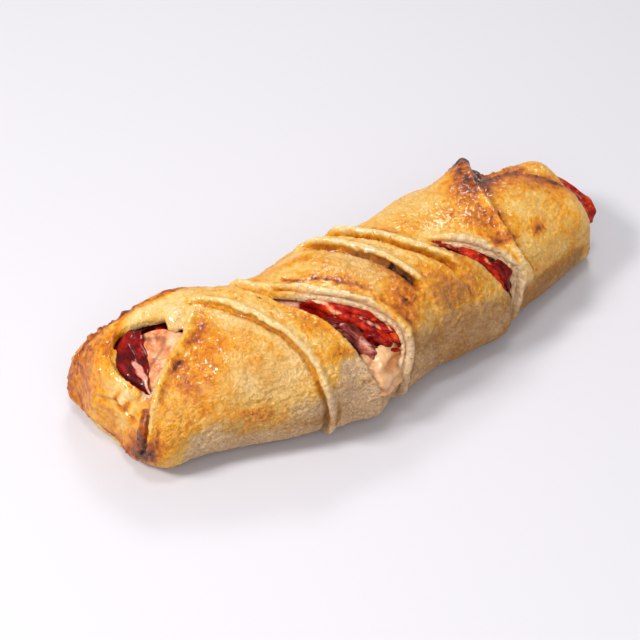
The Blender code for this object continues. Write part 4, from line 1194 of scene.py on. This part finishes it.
# Slices that show in the three gaps between the strips, from the lowest to the topmost in each, and
# at the open end, where they share a shape. Edges are like the strips' edges.
mouthShape = {"folds": 0.3, "count": 1.0, "sway": 0.2, "thick": 2.0, "outward": True}
slices = {
    "paleSlice": {
        "left": [(35, 108), (33, 99), (30, 89), (27, 80), (24, 71), (22, 62), (22, 50)],
        "right": [(48, 98), (51, 94), (52, 88), (48, 81), (42, 74), (36, 66), (30, 54)],
        "shape": {"depth": 5.6, "crown": 0.9, "folds": 0.35, "count": 1.2, "sway": 0.3, "seed": 3},
        "streaks": {"fat": [(0.35, 0.25, 0.5, 0.1, 0.8), (0.8, 0.2, 0.6, 0, 1)], "rim": (0.2, 0)},
        "ham": "pink",
        "node": "ham_lower",
    },
    "darkSlice": {
        "left": [
            (29, 114), (24, 109), (20, 102), (17, 94), (15, 85), (15, 75), (16.5, 64), (18.5, 54),
            (20.5, 46),
        ],
        "right": [
            (37, 108), (35, 102), (33, 95), (31.5, 87), (30, 79), (28, 71), (25.5, 64), (22.5, 55),
            (23.5, 46),
        ],
        "shape": {"depth": 4.4, "crown": 1.2, "folds": 0.45, "count": 1.5, "sway": 0.5, "seed": 1},
        "streaks": {
            "fat": [(0.66, 0.13, 0.85, 0.5, 0.95), (0.25, 0.06, 0.3, 0.1, 0.6)], "rim": (0.8, 0.3),
            "rimWidth": 0.05,
        },
        "ham": "dark",
        "node": "ham_upper",
    },
    "hiddenSlice": {
        "left": [(116, 74), (119, 66), (121, 56), (123, 46), (125, 38), (126, 30), (128, 22)],
        "right": [(131, 70), (134, 60), (137, 50), (139, 42), (141, 34), (142, 28), (142, 20)],
        "shape": {"depth": 8.2, "folds": 0.8, "count": 1.6, "seed": 8},
        "streaks": {"fat": [(0.4, 0.2, 0.4, 0.4, 1)]},
        "ham": "red",
        "node": "ham_lower",
    },
    "purpleSlice": {
        "left": [(118, 60), (120, 54), (122, 46), (125, 36), (127, 27), (129, 18), (130, 8)],
        "right": [(126, 62), (129, 54), (132, 44), (135, 35), (139, 25), (141, 17), (141, 6)],
        "shape": {
            "depth": 6.0, "folds": 0.7, "count": 1.5, "sway": 0.8, "crown": 0.6, "seed": 4,
            "ruffle": (0.8, 2),
        },
        "streaks": {"fat": [(0.6, 0.16, 0.6, 0.3, 1)], "rim": (0.4, 0.3)},
        "ham": "purple",
        "node": "ham_lower",
    },
    "redSlice": {
        "left": [(126, 66), (128, 59), (130, 52), (132, 45), (135, 37), (138, 30), (141, 24)],
        "right": [(137, 62), (140, 55), (142, 48), (145, 40), (147, 32), (148, 26), (147, 21)],
        "shape": {"depth": 5.0, "folds": 1.8, "count": 1.6, "sway": 1.2, "seed": 5, "ruffle": (1.2, 4)},
        "streaks": {"fat": [(0.5, 0.08, 0.5, 0, 0.6)], "rim": (0.5, 0.3)},
        "ham": "red",
        "node": "ham_upper",
    },
    "orangeSlice": {
        "left": [
            (106, 96), (111, 89), (116, 83), (119, 74), (122, 67), (126, 61), (131, 53), (135, 45),
            (138, 36),
        ],
        "right": [
            (113, 96), (118, 90), (124, 84), (129, 77), (134, 69), (139, 60), (143, 50), (146, 40),
            (147, 30),
        ],
        "shape": {"depth": 4.9, "folds": 1.9, "count": 2.2, "sway": 1.6, "seed": 6, "ruffle": (0.9, 3)},
        "streaks": {
            "fat": [
                (0.25, 0.07, 0.8, 0.2, 0.5), (0.62, 0.05, 0.7, 0.4, 0.9), (0.45, 0.05, 0.8, 0.08, 0.4),
                (0.82, 0.06, 0.7, 0.55, 0.9),
            ],
            "rim": (0.6, 0.2),
        },
        "ham": "orange",
        "node": "ham_upper",
    },
    "edgeSlice": {
        "left": [
            (104, 98), (109, 93), (115, 87), (121, 82), (127, 75), (132, 67), (137, 58), (141, 48),
            (144, 36), (146, 24),
        ],
        "right": [
            (112, 98), (117, 93), (123, 88), (129, 83), (135, 76), (140, 68), (145, 58), (148, 48),
            (150, 36), (151, 22),
        ],
        "shape": {"depth": 4.0, "folds": 0.5, "count": 1.4, "sway": 0.7, "seed": 7, "thick": 1.0},
        "streaks": {
            "fat": [(0.3, 0.2, 0.8, 0, 0.45), (0.3, 0.1, 0.4, 0.5, 1)], "rim": (0.95, 0.1),
            "rimWidth": 0.1,
        },
        "ham": "red",
        "node": "ham_upper",
    },
    "lastSlice": {
        "left": [
            (188, 90), (193, 83), (197, 76), (201, 68), (205, 59), (209, 49), (212, 38), (215, 28),
            (217, 16),
        ],
        "right": [
            (195, 90), (201, 83), (207, 75), (212, 66), (216, 56), (219, 45), (221, 36), (222, 27),
            (223, 14),
        ],
        "shape": {"depth": 4.3, "folds": 0.8, "count": 1.6, "sway": 0.9, "seed": 9, "ruffle": (0.7, 5)},
        "streaks": {"fat": [(0.7, 0.12, 0.5, 0.3, 1)], "rim": (0.5, 0.1)},
        "ham": "orange",
        "node": "ham_upper",
    },
    "lastRedSlice": {
        "left": [(214, 46), (217, 40), (219, 34), (220, 28), (221, 22), (222, 16)],
        "right": [(221, 48), (224, 41), (227, 35), (228, 29), (228, 23), (227, 17)],
        "shape": {
            "depth": 3.3, "folds": 0.6, "count": 1.2, "sway": 0.6, "seed": 10, "ruffle": (0.5, 2),
        },
        "streaks": {"fat": [(0.5, 0.1, 0.3, 0.1, 0.5)], "rim": (0.4, 0.4)},
        "ham": "red",
        "node": "ham_upper",
    },
    "mouthSlice": {
        "left": [(282, 22), (282, 50), (282, 80), (282, 110), (282, 140), (282, 154)],
        "right": [(301, 22), (305, 34), (306, 50), (304, 66), (300, 86), (295, 116), (294, 154)],
        "shape": {**mouthShape, "depth": 6.6, "seed": 13, "ruffle": (0.5, 4)},
        "streaks": {"fat": [(0.75, 0.08, 0.4, 0.3, 0.8)], "rim": (0.1, 0.3)},
        "ham": "orange",
        "node": "ham_upper",
    },
    "mouthRedSlice": {
        "left": [(282, 26), (282, 50), (282, 80), (282, 110), (282, 140), (282, 152)],
        "right": [(299, 26), (302, 40), (303, 56), (301, 74), (297, 96), (294, 125), (293, 152)],
        "shape": {**mouthShape, "depth": 9.4, "seed": 14, "ruffle": (1.3, 4)},
        "streaks": {"fat": [(0.8, 0.1, 0.6, 0, 1)], "rim": (0.1, 0.5)},
        "ham": "red",
        "node": "ham_upper",
    },
    "mouthInnerSlice": {
        "left": [(282, 32), (282, 55), (282, 85), (282, 110), (282, 135), (282, 148)],
        "right": [(298, 32), (302, 50), (302, 70), (300, 90), (296, 112), (294, 132), (293, 148)],
        "shape": {**mouthShape, "depth": 12.4, "seed": 15, "ruffle": (1.4, 5)},
        "streaks": {"fat": [(0.7, 0.2, 0.6, 0, 1)], "rim": (0.1, 0.4)},
        "ham": "orange",
        "node": "ham_upper",
    },
    "mouthPinkSlice": {
        "left": [(282, 38), (282, 60), (282, 90), (282, 115), (282, 135), (282, 144)],
        "right": [(297, 38), (300, 56), (300, 76), (298, 94), (295, 114), (293, 132), (292, 144)],
        "shape": {**mouthShape, "depth": 15.2, "seed": 16, "ruffle": (1.2, 4)},
        "streaks": {"fat": [(0.5, 0.3, 0.6, 0, 1)], "rim": (0.1, 0.3)},
        "ham": "pink",
        "node": "ham_lower",
    },
    "cavitySlice": {
        "left": [(32, 132), (35, 122), (38, 110), (40, 100)],
        "right": [(50, 134), (54, 122), (56, 110), (56, 98)],
        "shape": {"depth": 9.5, "folds": 1.0, "count": 1.4, "seed": 17},
        "streaks": {"fat": [(0.4, 0.2, 0.3, 0, 1)]},
        "ham": "dark",
        "node": "ham_upper",
    },
}
melt = {
    "left": [(124, 34), (124, 26), (124, 18), (124, 11), (125, 5), (128, 0)],
    "right": [(147, 34), (151, 26), (154, 18), (155, 10), (155, 3), (151, -3)],
    "shape": {
        "depth": 6.0, "slope": -3.4, "thick": 2.8, "folds": 0.6, "count": 1.5, "crown": 0.6, "sway": 0.6,
        "seed": 12, "ruffle": (0.7, 3), "drape": 4.5,
    },
    "streaks": {"rim": (0.5, 0.3)},
}


def folded(name, piece):
    made = thinSlice(name, piece["left"], piece["right"], **piece["shape"])
    return streaked(*made, seed=piece["shape"]["seed"], **piece["streaks"])


finishPiece(folded("meltedCheese", melt), ["cheese"], cheese.data.materials[0])
for name, piece in slices.items():
    finishPiece(folded(name, piece), [piece["node"]], hams[piece["ham"]])
print("filling done")


# The camera, the floor and the light, in metres. A lamp has its place, size, power and colour.
view = {
    "from": (-0.33226, -0.53113, 0.60202),
    "to": (-0.02144, 0.00724, 0.02232),
    "lens": 91.37,
}
sky = {"colour": (1.0, 0.99, 0.98, 1), "strength": 0.52, "lampsAim": (0, 0, 0.02)}
lamps = {
    "key": ((-1.0, 0.15, 1.05), (0.36, 0.28), 16.5, (1, 0.985, 0.96)),
    "back": ((0.9, 1.5, 1.8), (0.6, 0.45), 15, (1, 1, 1)),
    "overhead": ((-0.1, -0.1, 1.7), (0.4, 0.3), 7, (1, 1, 1)),
    "fill": ((-0.5, -1.2, 1.1), (1.4, 1.0), 9.5, (1, 1, 1)),
}


def makeView():
    camera = bpy.data.objects.new("camera", bpy.data.cameras.new("camera"))
    bpy.context.scene.collection.objects.link(camera)
    camera.location = view["from"]
    camera.rotation_euler = (Vector(view["to"]) - Vector(view["from"])).to_track_quat("-Z", "Y").to_euler()
    camera.data.lens = view["lens"]
    camera.data.sensor_width = 36
    bpy.context.scene.camera = camera


def areaLight(name, at, size, power, colour):
    light = bpy.data.lights.new(name, "AREA")
    light.shape = "RECTANGLE"
    light.size, light.size_y = size
    light.energy = power
    light.color = colour
    lamp = bpy.data.objects.new(name, light)
    lamp.location = at
    lamp.rotation_euler = (Vector(sky["lampsAim"]) - Vector(at)).to_track_quat("-Z", "Y").to_euler()
    bpy.context.scene.collection.objects.link(lamp)


def makeStudio():
    bpy.ops.mesh.primitive_plane_add(size=6, location=(0, 0, -0.0005))
    floor = bpy.context.object
    floor.name = "floor"
    p = Paint("pale floor")
    colour = p.mix(p.noise(2, 2), (192, 190, 196), (196, 194, 200))
    floor.data.materials.append(p.finish(colour, 0.6, p.bump(p.noise(40), 0.02, 0.5)))
    world = bpy.data.worlds.new("studio")
    world.use_nodes = True
    world.node_tree.nodes["Background"].inputs["Color"].default_value = sky["colour"]
    world.node_tree.nodes["Background"].inputs["Strength"].default_value = sky["strength"]
    bpy.context.scene.world = world
    for name, lamp in lamps.items():
        areaLight(name, *lamp)
    bpy.context.scene.view_settings.view_transform = "Standard"


makeView()
makeStudio()
print("view and light done")
